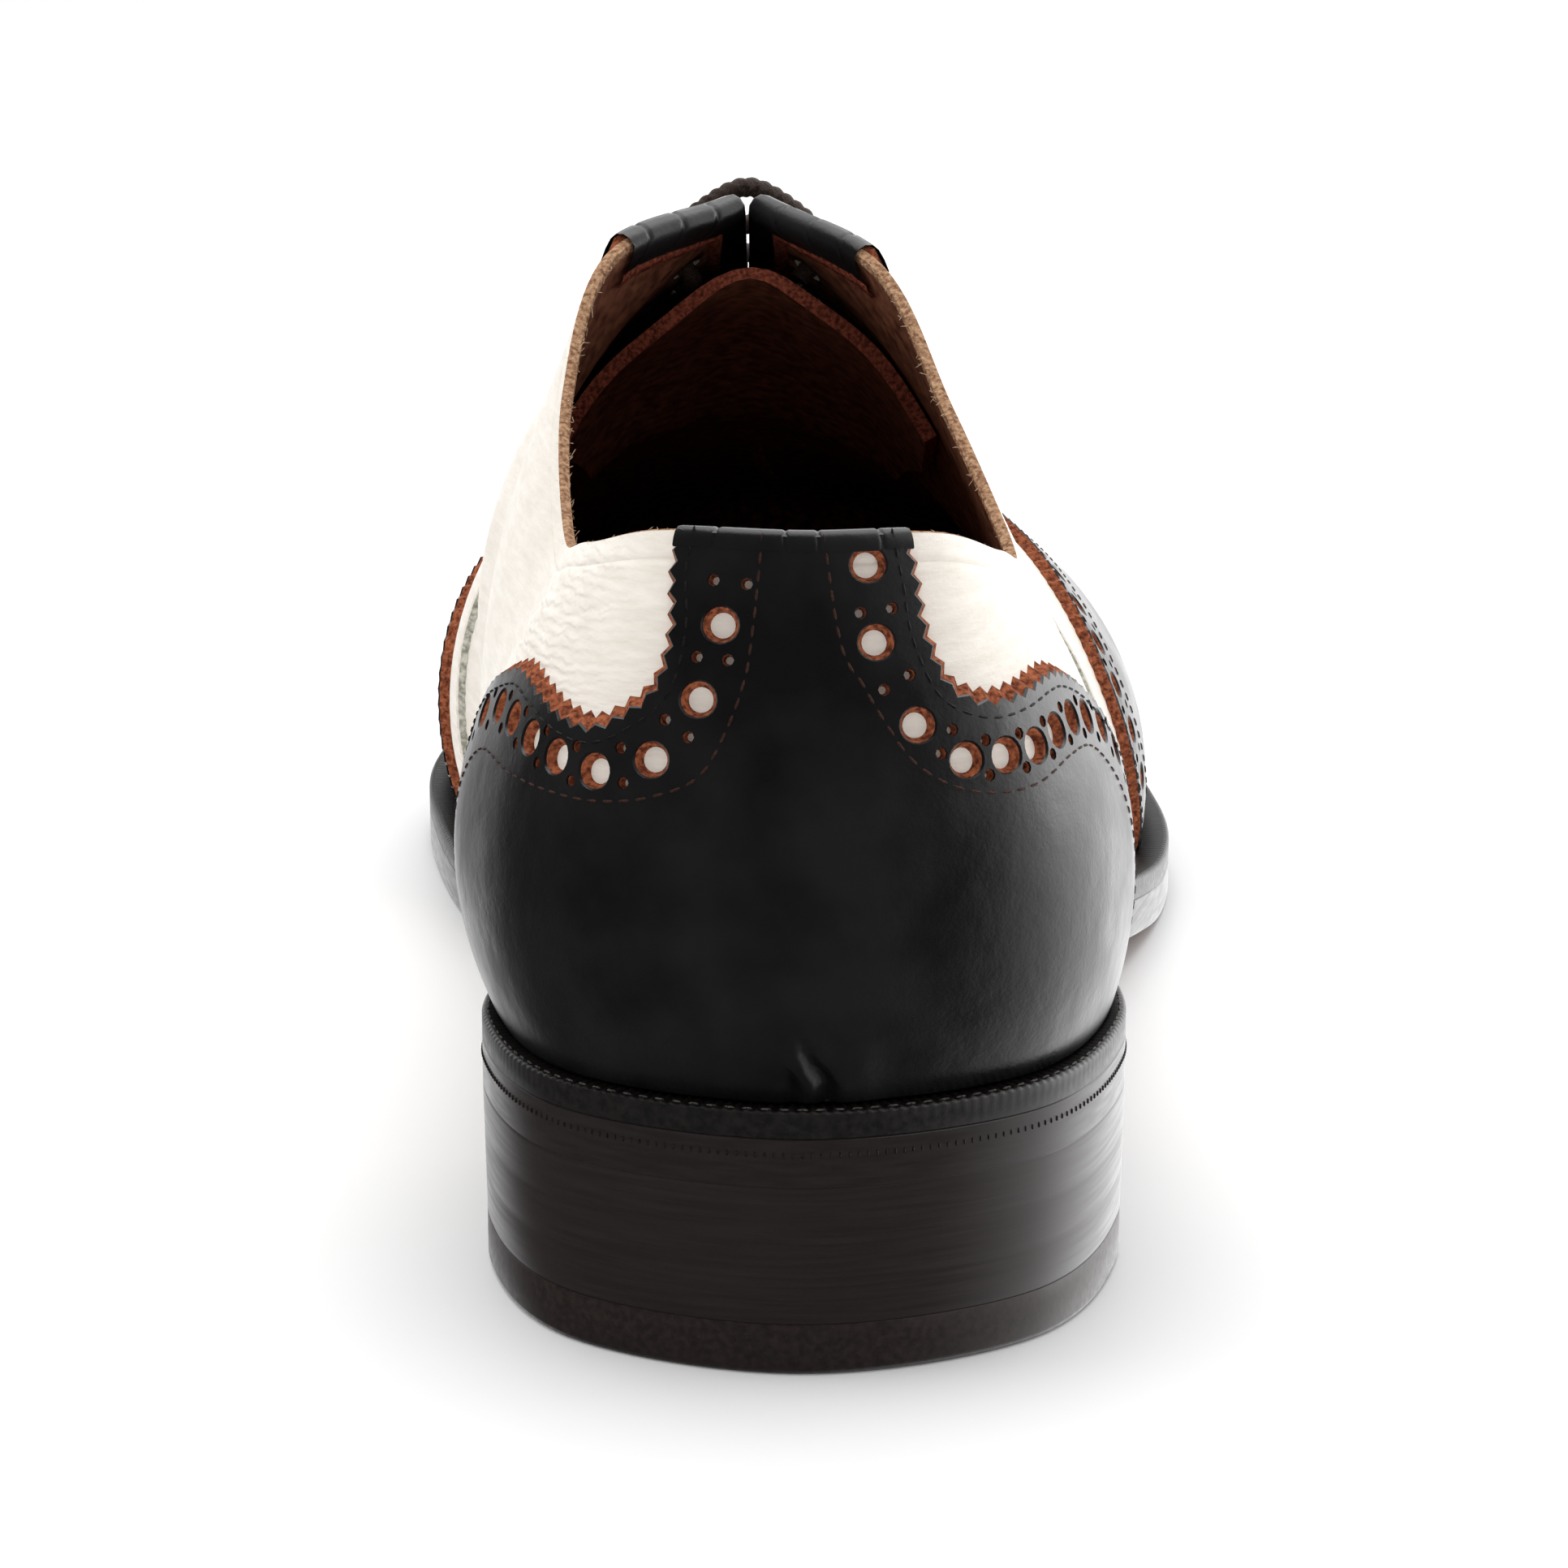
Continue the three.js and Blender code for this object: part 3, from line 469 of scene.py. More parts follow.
def grid_faces(rows, columns, closed=False, start=0):
    """Quads between rows of points; closed joins the last row to the first."""
    faces = []
    for i in range(rows if closed else rows - 1):
        a, b = start + i * columns, start + (i + 1) % rows * columns
        for j in range(columns - 1):
            faces.append((a + j, b + j, b + j + 1, a + j + 1))
    return faces


def bands(rings, start=0):
    """Quads between stacked closed rings of equal length, bottom first."""
    count = len(rings[0])
    faces = []
    for i in range(len(rings) - 1):
        for j in range(count):
            k = (j + 1) % count
            a, b = start + i * count, start + (i + 1) * count
            faces.append((a + j, a + k, b + k, b + j))
    return faces


# Leather panels
ROUNDING = 0.25  # how far a cut edge is rubbed over, mm
GRID = 2.2  # between points inside a panel, mm
CHART_SCALE = (24, 75)
HOLE_STEPS = (0.72, 1, 1.1)  # a hole's radius at its foot, brow and rim


def crease_drop(spots, lines):
    """How far creases lower the skin at spots. Each has a depth, a width and its (u, t) knots."""
    flat = side_chart(spots.reshape(-1, 2))
    drop = np.zeros(len(flat))
    for depth, width, knots in lines:
        line = side_chart(spaced(knots, 0.5))
        apart = np.linalg.norm(flat[:, None] - line, axis=-1)
        fade = np.sqrt(np.abs(np.sin(math.pi * apart.argmin(axis=1) / (len(line) - 1))))
        near = apart.min(axis=1) / width
        drop += depth * fade * (np.exp(-(near**2)) - 0.45 * np.exp(-((near - 2) ** 2)))
    return drop.reshape(spots.shape[:-1])


def edge(knots, pitch=1.1, tooth=0.0, flare=0.0):
    """A panel's edge as three lines: its base, its brow and its rubbed top. The panel lies to the left.

    The base stands out by the flare where the edge faces up, and by half of it elsewhere.
    """
    line = spaced(knots, pitch)
    left = left_of(line)
    teeth = tooth * (np.arange(len(line)) % 2)
    out = flare * (0.5 + 0.5 * np.clip(-left[:, 2], 0, 1))
    return np.stack([nudge(line, left * (teeth + move)[:, None]) for move in (-out, 0, ROUNDING)])


def side_chart(spots):
    """Spots laid flat, with a row and a rise each at about its length in mm."""
    return spots * CHART_SCALE


def ridge_chart(spots):
    """Spots laid flat round the ridge, each section rolled out from its top."""
    spots = fold(spots)
    u = spots[..., 0]
    top = top_point(u)
    foot, _ = sole_edge(u, ring(MARGINS, u))
    run = np.linalg.norm(skin(u, spots[..., 1]) - top, axis=-1)
    return top[..., :2] + unit(foot - top * (1, 1, 0))[..., :2] * run[..., None]


def within(flat, loop):
    """Which flat points lie inside a loop."""
    x, y = flat[:, :1], flat[:, 1:]
    x0, y0 = loop.T
    x1, y1 = np.roll(loop, -1, axis=0).T
    run = np.where(y1 == y0, 1, y1 - y0)
    crosses = ((y0 > y) != (y1 > y)) & (x < x0 + (y - y0) * (x1 - x0) / run)
    return crosses.sum(axis=1) % 2 == 1


def filling(loop, holes, chart, size):
    """Spots inside a panel, about a size apart and clear of its edges."""
    low, high = loop.min(axis=0), loop.max(axis=0)
    rises = np.linspace(low[1], high[1], max(4, int((high[1] - low[1]) * CHART_SCALE[1] / size)))
    lines = [spaced([(low[0], t), ((low[0] + high[0]) / 2, t), (high[0], t)], size) for t in rises]
    spots = np.concatenate(lines)
    flat, outline = chart(spots), chart(loop)
    keep = within(flat, outline)
    for hole in holes:
        keep &= ~within(flat, chart(hole))
    spots, flat = spots[keep], flat[keep]
    borders = np.concatenate([outline] + [chart(hole) for hole in holes])
    gaps = [np.linalg.norm(borders - p, axis=1).min() for p in flat]
    return spots[np.array(gaps) > 0.4 * size]


def hole_rings(centre, radius):
    """A pierced hole's rings: the raw edge under the cut, the cut's brow and its rubbed rim."""
    count = 20 if radius > 1 else 8
    return np.stack([circle(centre, radius * more, count) for more in HOLE_STEPS])


def panel(name, edges, low, high, paints, holes=(), chart=side_chart, size=GRID, creased=(), close=()):
    """A panel of leather from a height low over the skin to high, with pierced holes.

    holes holds (centre, radius) pairs. paints are the leather's face and its raw edge.
    creased holds creases, and close the closer spots that they need.
    """

    def lifted(spots_at, height):
        return leather(spots_at, height - crease_drop(spots_at, creased))

    loops = np.concatenate([part[:, :-1] for part in edges], axis=1)
    cuts = [hole_rings(centre, radius) for centre, radius in holes]
    rims = [rings[2] for rings in cuts]
    filled = filling(loops[2], rims, chart, size)
    spots = np.concatenate([loops[2], *rims, filled, np.array(close).reshape(-1, 2)])
    flat = chart(spots)
    rim_edges = []
    start = 0
    for rim in [loops[2], *rims]:
        rim_edges += [(start + i, start + (i + 1) % len(rim)) for i in range(len(rim))]
        start += len(rim)
    cut = delaunay_2d_cdt([Vector(p) for p in flat], rim_edges, [], 0, 1e-6)
    origin = [ids[0] if ids else -1 for ids in cut[3]]
    tris = np.array([[origin[i] for i in face] for face in cut[2]])
    tris = tris[(tris >= 0).all(axis=1)]
    middle = flat[tris].mean(axis=1)
    keep = within(middle, flat[: loops.shape[1]])
    for rim in rims:
        keep &= ~within(middle, chart(rim))
    corners = flat[tris]
    first, second = corners[:, 1] - corners[:, 0], corners[:, 2] - corners[:, 0]
    turn = first[:, 0] * second[:, 1] - first[:, 1] * second[:, 0]
    keep &= np.abs(turn) > 1e-4
    tris = np.where((turn > 0)[:, None], tris, tris[:, ::-1])[keep]
    vertices = [lifted(spots, high)]
    faces = [tuple(face) for face in tris]
    paint_of = [0] * len(faces)
    start = len(spots)
    for rings, inward in [(loops, False)] + [(rings, True) for rings in cuts]:
        walls = [leather(rings[0], low), lifted(rings[1], high - ROUNDING), lifted(rings[2], high)]
        wall_faces = bands(walls, start)
        half = len(wall_faces) // 2
        faces += [face[::-1] for face in wall_faces] if inward else wall_faces
        paint_of += [1] * half + [0] * half
        vertices += walls
        start += 3 * rings.shape[1]
    return mesh_object(name, np.concatenate(vertices), faces, paints, paint_of)


# Stitches
STITCH_PITCH = 1.9
STITCH_LENGTH = 1.35
STITCH_WIDTH = 0.3


def stitches(name, lines, height, material):
    """Short threads along lines of spots, lying at a height over the skin."""
    middles, alongs, ups = [], [], []
    for knots in lines:
        line = spaced(knots, STITCH_PITCH)
        middles.append(leather(line, height))
        alongs.append(unit(np.gradient(middles[-1], axis=0)))
        ups.append(normal(line[:, 0], line[:, 1]))
    frames = [np.concatenate(parts) for parts in (middles, alongs, ups)]
    return threads(name, *frames, material, STITCH_LENGTH, STITCH_WIDTH)


def threads(name, middles, alongs, ups, material, length, width):
    """Short threads that taper to both ends, each with its own direction and upper side."""
    sides = np.cross(alongs, ups)
    shape = [(-0.5, 0, 0)]
    for at in (-0.3, 0.3):
        shape += [(at, 0.5, 0), (at, 0, 0.5), (at, -0.5, 0), (at, 0, -0.5)]
    shape.append((0.5, 0, 0))
    shape = np.array(shape)
    spots = (
        middles[:, None]
        + alongs[:, None] * (shape[:, :1] * length)
        + sides[:, None] * (shape[:, 1:2] * width)
        + ups[:, None] * (shape[:, 2:] * width)
    )
    pattern = []
    for j in range(4):
        k = (j + 1) % 4
        pattern += [(0, 1 + j, 1 + k), (1 + j, 5 + j, 5 + k, 1 + k), (5 + j, 9, 5 + k)]
    faces = [tuple(10 * i + v for v in face) for i in range(len(middles)) for face in pattern]
    return mesh_object(name, spots.reshape(-1, 3), faces, [material], crease=80)


# Layers over the skin, mm
OVERLAY_TOP = GAP + OVERLAY
WING_TOP = VAMP + GAP + OVERLAY
RAW = 1.5  # how far a raw edge that faces up stands out under a cut
PINK_PITCH = 1.1  # half of a tooth
PINK_DEPTH = 0.75
PLAIN_PITCH = 1.6  # of an edge without teeth
EDGE_LIFT = 0.6  # how far the vamp's and the wing's back edges stand up
LIFT_WIDTH = 1.6
EDGE_STITCHES_IN = 2.0
TOP_STITCHES_IN = 2.5
WING_HOLES_IN = 6.3
WING_STITCHES_IN = 11.0
WING_HOLE_PITCH = 8.6

# Counter's cut edge as (row, rise), from the foot up to the back strip.
COUNTER_OUTER = [
    (2.78, 0), (2.75, 0.12), (2.66, 0.3), (2.48, 0.46), (2.2, 0.6), (1.89, 0.7), (1.63, 0.741),
    (1.43, 0.742), (1.17, 0.72), (0.96, 0.713), (0.79, 0.738), (0.73, 0.784), (0.7, 0.851),
    (0.71, 0.911), (0.7, 1),
]
COUNTER_INNER = [
    (3.0, 0), (2.95, 0.15), (2.8, 0.38), (2.52, 0.57), (2.2, 0.68), (1.8, 0.733), (1.49, 0.707),
    (1.27, 0.678), (1.03, 0.663), (0.85, 0.7), (0.76, 0.735), (0.73, 0.783), (0.74, 0.853), (0.8, 0.93),
    (0.8, 1),
]
# Its inner row of stitches, from the foot up.
COUNTER_LINE_OUTER = [
    (2.3, 0), (2.27, 0.12), (2.2, 0.28), (2.06, 0.42), (1.91, 0.51), (1.66, 0.585), (1.39, 0.587),
    (1.09, 0.556), (0.84, 0.554), (0.65, 0.576), (0.5, 0.621), (0.4, 0.684), (0.3, 0.756), (0.21, 0.817),
    (0.14, 0.99),
]
COUNTER_LINE_INNER = [
    (2.5, 0), (2.45, 0.15), (2.35, 0.33), (2.15, 0.48), (1.89, 0.56), (1.47, 0.543), (1.05, 0.533),
    (0.85, 0.536), (0.65, 0.553), (0.46, 0.593), (0.36, 0.674), (0.3, 0.754), (0.28, 0.816),
    (0.26, 0.99),
]
LARGE_HOLE = 1.85
SMALL_HOLE = 0.6
COUNTER_HOLES_OUTER = [
    (0.4, 0.949), (0.4, 0.822), (0.55, 0.681), (0.75, 0.615), (0.96, 0.614), (1.15, 0.62), (1.34, 0.637),
    (1.54, 0.65), (1.74, 0.64), (1.95, 0.607), (2.13, 0.545), (2.29, 0.46), (2.4, 0.36), (2.47, 0.25),
    (2.51, 0.13),
]
COUNTER_HOLES_INNER = [
    (0.45, 0.848), (0.51, 0.723), (0.68, 0.616), (0.94, 0.585), (1.17, 0.597), (1.39, 0.617),
    (1.61, 0.64), (1.83, 0.65), (2.06, 0.625), (2.28, 0.575), (2.46, 0.495), (2.6, 0.39), (2.69, 0.27),
    (2.73, 0.14),
]
# The back strip's small holes.
STRIP_HOLES_OUTER = [
    (0.33, 0.871), (0.51, 0.876), (0.41, 0.743), (0.55, 0.765), (0.635, 0.63), (0.71, 0.668),
]
STRIP_HOLES_INNER = [
    (0.52, 0.92), (0.33, 0.917), (0.55, 0.793), (0.39, 0.791), (0.65, 0.685), (0.53, 0.659),
]


def inner(line):
    """The same (row, rise) places on the inner side."""
    return [(-row, rise) for row, rise in line]


def inner_front(line):
    """The same, counted on from the toe."""
    return [(ROUND - row, rise) for row, rise in line]


def pairs_between(holes, reach=1.8):
    """Two small holes across the row of large ones, half way between each pair of them."""
    line = np.array(holes, float)
    middles = (line[1:] + line[:-1]) / 2
    left = left_of(line)
    left = unit(left[1:] + left[:-1])
    return [tuple(spot) for way in (1, -1) for spot in nudge(middles, left * reach * way)]


def pierced(large, small):
    return [(spot, LARGE_HOLE) for spot in large] + [(spot, SMALL_HOLE) for spot in small]


# Where the medial quarter has fine wrinkles: depth and width in mm, and (row, rise) places.
WRINKLES = [
    (0.16, 0.6, [(1.75, 0.835), (1.45, 0.86), (1.2, 0.88), (1.0, 0.9), (0.8, 0.925)]),
    (0.14, 0.55, [(2.6, 0.79), (2.05, 0.82), (1.65, 0.82), (1.3, 0.82)]),
    (0.16, 0.55, [(2.5, 0.765), (2.05, 0.8), (1.75, 0.8), (1.45, 0.802)]),
    (0.16, 0.55, [(2.3, 0.76), (1.8, 0.78), (1.55, 0.78), (1.3, 0.79)]),
    (0.15, 0.6, [(2.0, 0.76), (1.7, 0.76), (1.45, 0.76), (1.15, 0.762)]),
    (0.12, 0.6, [(1.75, 0.738), (1.45, 0.742), (1.2, 0.738)]),
    (0.14, 0.6, [(2.75, 0.83), (2.3, 0.856), (1.8, 0.862), (1.5, 0.88), (1.15, 0.91)]),
    (0.12, 0.55, [(1.6, 0.845), (1.35, 0.855), (1.1, 0.872), (0.8, 0.895)]),
    (0.1, 0.6, [(1.35, 0.835), (1.05, 0.842), (0.8, 0.858)]),
    (0.1, 0.6, [(1.15, 0.815), (0.95, 0.82), (0.78, 0.826)]),
    (0.1, 0.6, [(1.3, 0.785), (1.05, 0.795), (0.8, 0.798)]),
    (0.1, 0.7, [(3.1, 0.82), (2.6, 0.87), (2.1, 0.89), (1.6, 0.905)]),
]
WRINKLED_ROWS = (ROUND - 3.3, ROUND - 0.6)
FOLD_DOWN = 3.0  # of the line under the white collar's turned edge, mm
FOLD_DEPTH = 0.22
FOLD_WIDTH = 0.25
# The quarters' mesh: steps in a row where it is plain and wrinkled, and points up each face.
PLAIN_STEPS = 12
FINE_STEPS = 48
OUTSIDE_POINTS = 100
LINING_POINTS = 30
COLLAR_ZONE = 5  # mm of close points under the top edge


def rise_length(u):
    """How many mm a whole t measures at the top edge."""
    _, up = slopes(u, np.ones_like(u))
    return np.linalg.norm(up, axis=-1)


def from_top(u, down):
    """Spots so many mm down from the top edge; under nought they stand over it."""
    u, down = np.broadcast_arrays(np.asarray(u, float), np.asarray(down, float))
    t = 1 - down / rise_length(u)
    closed = row_of(u) >= THROAT_ROW
    return np.stack([u, np.where(closed, np.minimum(t, 1), t)], axis=-1)


def make_upper():
    """The white quarters with their lining, and a raw edge along the collar."""
    plain = np.arange(PLAIN_STEPS * ROUND) / PLAIN_STEPS
    along = np.union1d(plain, np.arange(*WRINKLED_ROWS, 1 / FINE_STEPS))[:, None]
    low = 1 - COLLAR_ZONE / rise_length(along)
    downs = np.array([4.4, 3.8, 3.4, 3.15, 3.0, 2.85, 2.6, 2.2, 1.7, 1.1, 0.6, 0.25, 0])
    rim = np.array([(-0.2, -0.2), (-0.3, -0.7), (-0.2, -1.25), (0.3, -WALL), (1.0, -WALL)])
    parts = [
        np.linspace(0, 1, OUTSIDE_POINTS) * low,
        from_top(along, downs)[..., 1],
        from_top(along, rim[:, 0])[..., 1],
        np.linspace(1, 0, LINING_POINTS) * low,
    ]
    t = np.concatenate(parts, axis=1)
    spots = np.stack([np.broadcast_to(along, t.shape), t], axis=-1)
    turned = -FOLD_DEPTH * np.exp(-(((downs - FOLD_DOWN) / FOLD_WIDTH) ** 2))
    profile = np.concatenate([np.zeros(OUTSIDE_POINTS), turned, rim[:, 1], np.full(LINING_POINTS, -WALL)])
    heights = np.tile(profile, (len(along), 1))
    wrinkled = (along[:, 0] >= WRINKLED_ROWS[0]) & (along[:, 0] <= WRINKLED_ROWS[1])
    wrinkles = [(depth, width, inner_front(line)) for depth, width, line in WRINKLES]
    heights[wrinkled, :OUTSIDE_POINTS] -= crease_drop(spots[wrinkled, :OUTSIDE_POINTS], wrinkles)
    vertices = leather(spots, heights)
    faces = grid_faces(len(along), t.shape[1], closed=True)
    ends = np.cumsum([part.shape[1] for part in parts])[1:3] - 1
    parts_at = np.searchsorted(ends, np.array(faces)[:, 0] % t.shape[1], side="right")
    paint_of = np.array([0, 2, 1])[parts_at]
    paints = [white_calf(), lining(), collar_edge()]
    made = mesh_object("quarters_and_lining", vertices.reshape(-1, 3), faces, paints, paint_of)
    cut_eyelets(made)
    place(made, "white_leather", "upper")
    make_fibres()


FIBRES = 700
LONG_FIBRES = 220
FIBRE_WIDTH = 0.09


def make_fibres():
    """Loose fibres along the collar's raw edge."""
    u = random.uniform(0.95, 5.1, FIBRES) * random.choice([1, -1], FIBRES)
    places = from_top(u, random.uniform(-0.3, 0.6, FIBRES))
    middles = leather(places, random.uniform(-1.7, -0.3, FIBRES))
    out = normal(u, np.ones(FIBRES))
    ways = unit(random.normal(0, 0.6, (FIBRES, 3)) - 0.35 * out + (0, 0, 0.5))
    ups = unit(np.cross(ways, out))
    for name, part, length in (
        ("long", slice(0, LONG_FIBRES), 1.5),
        ("short", slice(LONG_FIBRES, FIBRES), 0.8),
    ):
        frames = [array[part] for array in (middles, ways, ups)]
        made = threads("collar_fibres_" + name, *frames, fibre(), length, FIBRE_WIDTH)
        place(made, "white_leather")


def place(made, slot, *nodes):
    """Puts a piece on the shoe's body, in place of the CAD nodes that it covers. The slot is not used."""
    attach(made, "root")
    if nodes:
        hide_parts(*nodes)
    return made


def counter_edges():
    outer, inside = COUNTER_OUTER, inner(COUNTER_INNER)[::-1]
    return [
        edge([inside[-1], (0, 0), outer[0]], PLAIN_PITCH / 2),
        edge(outer, PINK_PITCH, PINK_DEPTH, RAW),
        edge([outer[-1], (0, 1), inside[0]], PLAIN_PITCH),
        edge(inside, PINK_PITCH, PINK_DEPTH, RAW),
    ]


# The tuck low on the heel's back, where the counter is drawn under: depth, width and (u, t) places.
TUCK = [
    (0.75, 0.75, [(-0.01, 0.145), (0.03, 0.09), (0.1, 0.04), (0.12, -0.06)]),
    (0.4, 0.7, [(-0.09, 0.08), (-0.05, 0.03), (-0.04, -0.05)]),
    (-0.25, 1.6, [(0.2, 0.13), (0.22, 0.07), (0.24, -0.06)]),
]


def around_tuck():
    """Close spots that the tuck needs."""
    u, t = np.meshgrid(np.linspace(-0.22, 0.34, 30), np.linspace(0.008, 0.19, 28))
    return np.stack([u.ravel(), t.ravel()], axis=-1)


def make_counter():
    large = COUNTER_HOLES_OUTER + inner(COUNTER_HOLES_INNER)
    small = STRIP_HOLES_OUTER + inner(STRIP_HOLES_INNER) + pairs_between(COUNTER_HOLES_OUTER[3:])
    small += pairs_between(inner(COUNTER_HOLES_INNER[2:]))
    paints = [black_calf(), raw_edge()]
    holes = pierced(large, small)
    made = panel("counter_leather", counter_edges(), 0.0, OVERLAY_TOP, paints, holes, size=1.9,
                 creased=TUCK, close=around_tuck())
    place(made, "black_leather", "counter")
    rim = rolled("counter_rim", np.arange(-0.8, 0.701, 0.01), STRIP_RIM, 9, STRIP_PLEATS)
    place(rim, "black_leather")
    lines = [COUNTER_LINE_OUTER, inner(COUNTER_LINE_INNER)[::-1]]
    sewn = stitches("counter_inner_stitches", lines, OVERLAY_TOP, brown_thread())
    place(sewn, "black_leather")
    rows = [beside(line, EDGE_STITCHES_IN) for line in (COUNTER_OUTER, inner(COUNTER_INNER)[::-1])]
    place(stitches("counter_edge_stitches", rows, OVERLAY_TOP, black_thread()), "black_leather")


# Folded rims, from outside over the edge and down inside: mm down from the edge, height over the skin.
STRIP_RIM = [
    (1.9, OVERLAY_TOP - 0.1), (1.75, OVERLAY_TOP + 0.08), (1.0, OVERLAY_TOP + 0.16),
    (0.3, OVERLAY_TOP + 0.08), (-0.3, OVERLAY_TOP - 0.3),
    (-0.55, 0.1), (-0.5, -0.9), (-0.1, -WALL - 0.25), (1.6, -WALL - 0.35),
    (2.6, -WALL - 0.3), (3.2, -WALL - 0.25), (3.4, -WALL + 0.1),
]
FACING_RIM = [
    (3.4, OVERLAY_TOP - 0.1), (3.2, OVERLAY_TOP + 0.14), (1.8, OVERLAY_TOP + 0.3),
    (0.4, OVERLAY_TOP + 0.22), (-0.5, OVERLAY_TOP - 0.2),
    (-0.95, 0.1), (-0.9, -0.9), (-0.35, -WALL - 0.4), (0.8, -WALL - 0.75),
    (2.4, -WALL - 0.8), (3.4, -WALL - 0.6), (3.7, -WALL - 0.75), (4.9, -WALL - 0.7), (5.3, -WALL + 0.1),
]
STRIP_PLEATS = (-0.55, -0.12, 0.1, 0.5)
FACING_PLEATS = (5.3, 5.56, 5.8, 6.4)
PLEAT_DEPTH = 0.18
PLEAT_WIDTH = 0.012  # in rows


def rolled(name, u, profile, split, pleats):
    """A folded strip over the top edge, with small dents across it at the pleats.

    profile holds (mm down from the edge, height over the skin) pairs, and is suede from the split on.
    """
    u = np.asarray(u, float)
    dent = np.zeros(len(u))
    for pleat in pleats:
        dent += PLEAT_DEPTH * np.exp(-(((u - pleat) / PLEAT_WIDTH) ** 2))
    down, height = np.array(profile).T
    middle = -WALL / 2
    inward = np.sign(middle - height)
    heights = height + dent[:, None] * inward * (np.abs(height - middle) > 0.9)
    downs = down + dent[:, None] * (down < 0.5)
    vertices = leather(from_top(u[:, None], downs), heights)
    faces = grid_faces(len(u), len(profile))
    paint_of = [int(f[0] % len(profile) >= split) for f in faces]
    paints = [black_calf(), suede_edge()]
    return mesh_object(name, vertices.reshape(-1, 3), faces, paints, paint_of, crease=70)


# Wing's back edge as (row, rise) on each side, from the foot to the ridge.
WING_BACK = [
    (9.6, 0), (9.35, 0.15), (9.3, 0.32), (9.7, 0.5), (10.6, 0.66), (11.4, 0.8), (11.0, 0.91), (9.9, 1),
]
# Vamp's back edge, from the foot to the throat.
VAMP_BACK_OUTER = [
    (8.9, 0), (8.8, 0.25), (8.6, 0.35), (8.5, 0.41), (8.65, 0.47), (8.85, 0.53), (8.9, 0.62),
    (8.8, 0.72), (8.55, 0.83), (8.25, 0.92), (8.05, 0.97), (8.0, 1),
]
VAMP_BACK_INNER = [
    (8.8, 0), (8.65, 0.25), (8.6, 0.38), (8.4, 0.46), (7.7, 0.52), (7.2, 0.575), (7.15, 0.64),
    (7.5, 0.71), (7.9, 0.8), (8.05, 0.97), (8.0, 1),
]
# Its front edge, hidden under the wing.
VAMP_FRONT = [(11.2, 0), (11.2, 0.4), (12.2, 0.66), (12.8, 0.8), (12.4, 0.92), (11.4, 1)]


def make_vamp():
    back_outer, back_inner = VAMP_BACK_OUTER[::-1], inner_front(VAMP_BACK_INNER)
    front_inner = inner_front(VAMP_FRONT)
    edges = [
        edge([back_outer[-1], VAMP_FRONT[0]], PLAIN_PITCH),
        edge(VAMP_FRONT, PLAIN_PITCH),
        edge(front_inner[::-1], PLAIN_PITCH),
        edge([front_inner[0], back_inner[0]], PLAIN_PITCH),
        edge(back_inner, PINK_PITCH, PINK_DEPTH, RAW),
        edge(back_outer, PINK_PITCH, PINK_DEPTH, RAW),
    ]
    lifts = [(-EDGE_LIFT, LIFT_WIDTH, line) for line in (back_inner, VAMP_BACK_OUTER)]
    made = panel("vamp", edges, 0.0, VAMP, [white_calf(), pale_edge()], chart=ridge_chart, creased=lifts)
    place(made, "white_leather")
    rows = [beside(line, EDGE_STITCHES_IN) for line in (back_inner, back_outer)]
    place(stitches("vamp_stitches", rows, VAMP, white_thread()), "white_leather")


def short_of_ridge(line, last=0.96):
    """The part of a line that stays on its own side of the ridge."""
    return line[line[:, 1] < last]


def make_wing():
    outer, inside = WING_BACK[::-1], inner_front(WING_BACK)
    edges = [
        edge([WING_BACK[0], (12, 0), (TOE_ROW, 0), (18, 0), inside[0]], PLAIN_PITCH),
        edge(inside, PINK_PITCH, PINK_DEPTH, RAW),
        edge(outer, PINK_PITCH, PINK_DEPTH, RAW),
    ]
    large, small = [], []
    for line in (outer, inside):
        row = short_of_ridge(beside(line, WING_HOLES_IN, WING_HOLE_PITCH)[1:-1])
        large += [tuple(spot) for spot in row]
        small += pairs_between(row)
    holes = pierced(large, small)
    lifts = [(-EDGE_LIFT, LIFT_WIDTH, line) for line in (outer, inside)]
    paints = [black_calf(), raw_edge()]
    made = panel("wing_leather", edges, VAMP, WING_TOP, paints, holes, ridge_chart, creased=lifts)
    place(made, "black_leather", "toe_wing")
    for name, distance, thread in (
        ("wing_edge_stitches", EDGE_STITCHES_IN, black_thread()),
        ("wing_inner_stitches", WING_STITCHES_IN, brown_thread()),
    ):
        rows = [short_of_ridge(beside(line, distance)) for line in (outer, inside)]
        place(stitches(name, rows, WING_TOP, thread), "black_leather")


# Facing's lower edge as (row, rise), from the collar to the throat.
FACING_LOW = [(5.15, 0.93), (5.5, 0.8), (6, 0.74), (7, 0.735), (7.6, 0.75), (7.9, 0.8)]


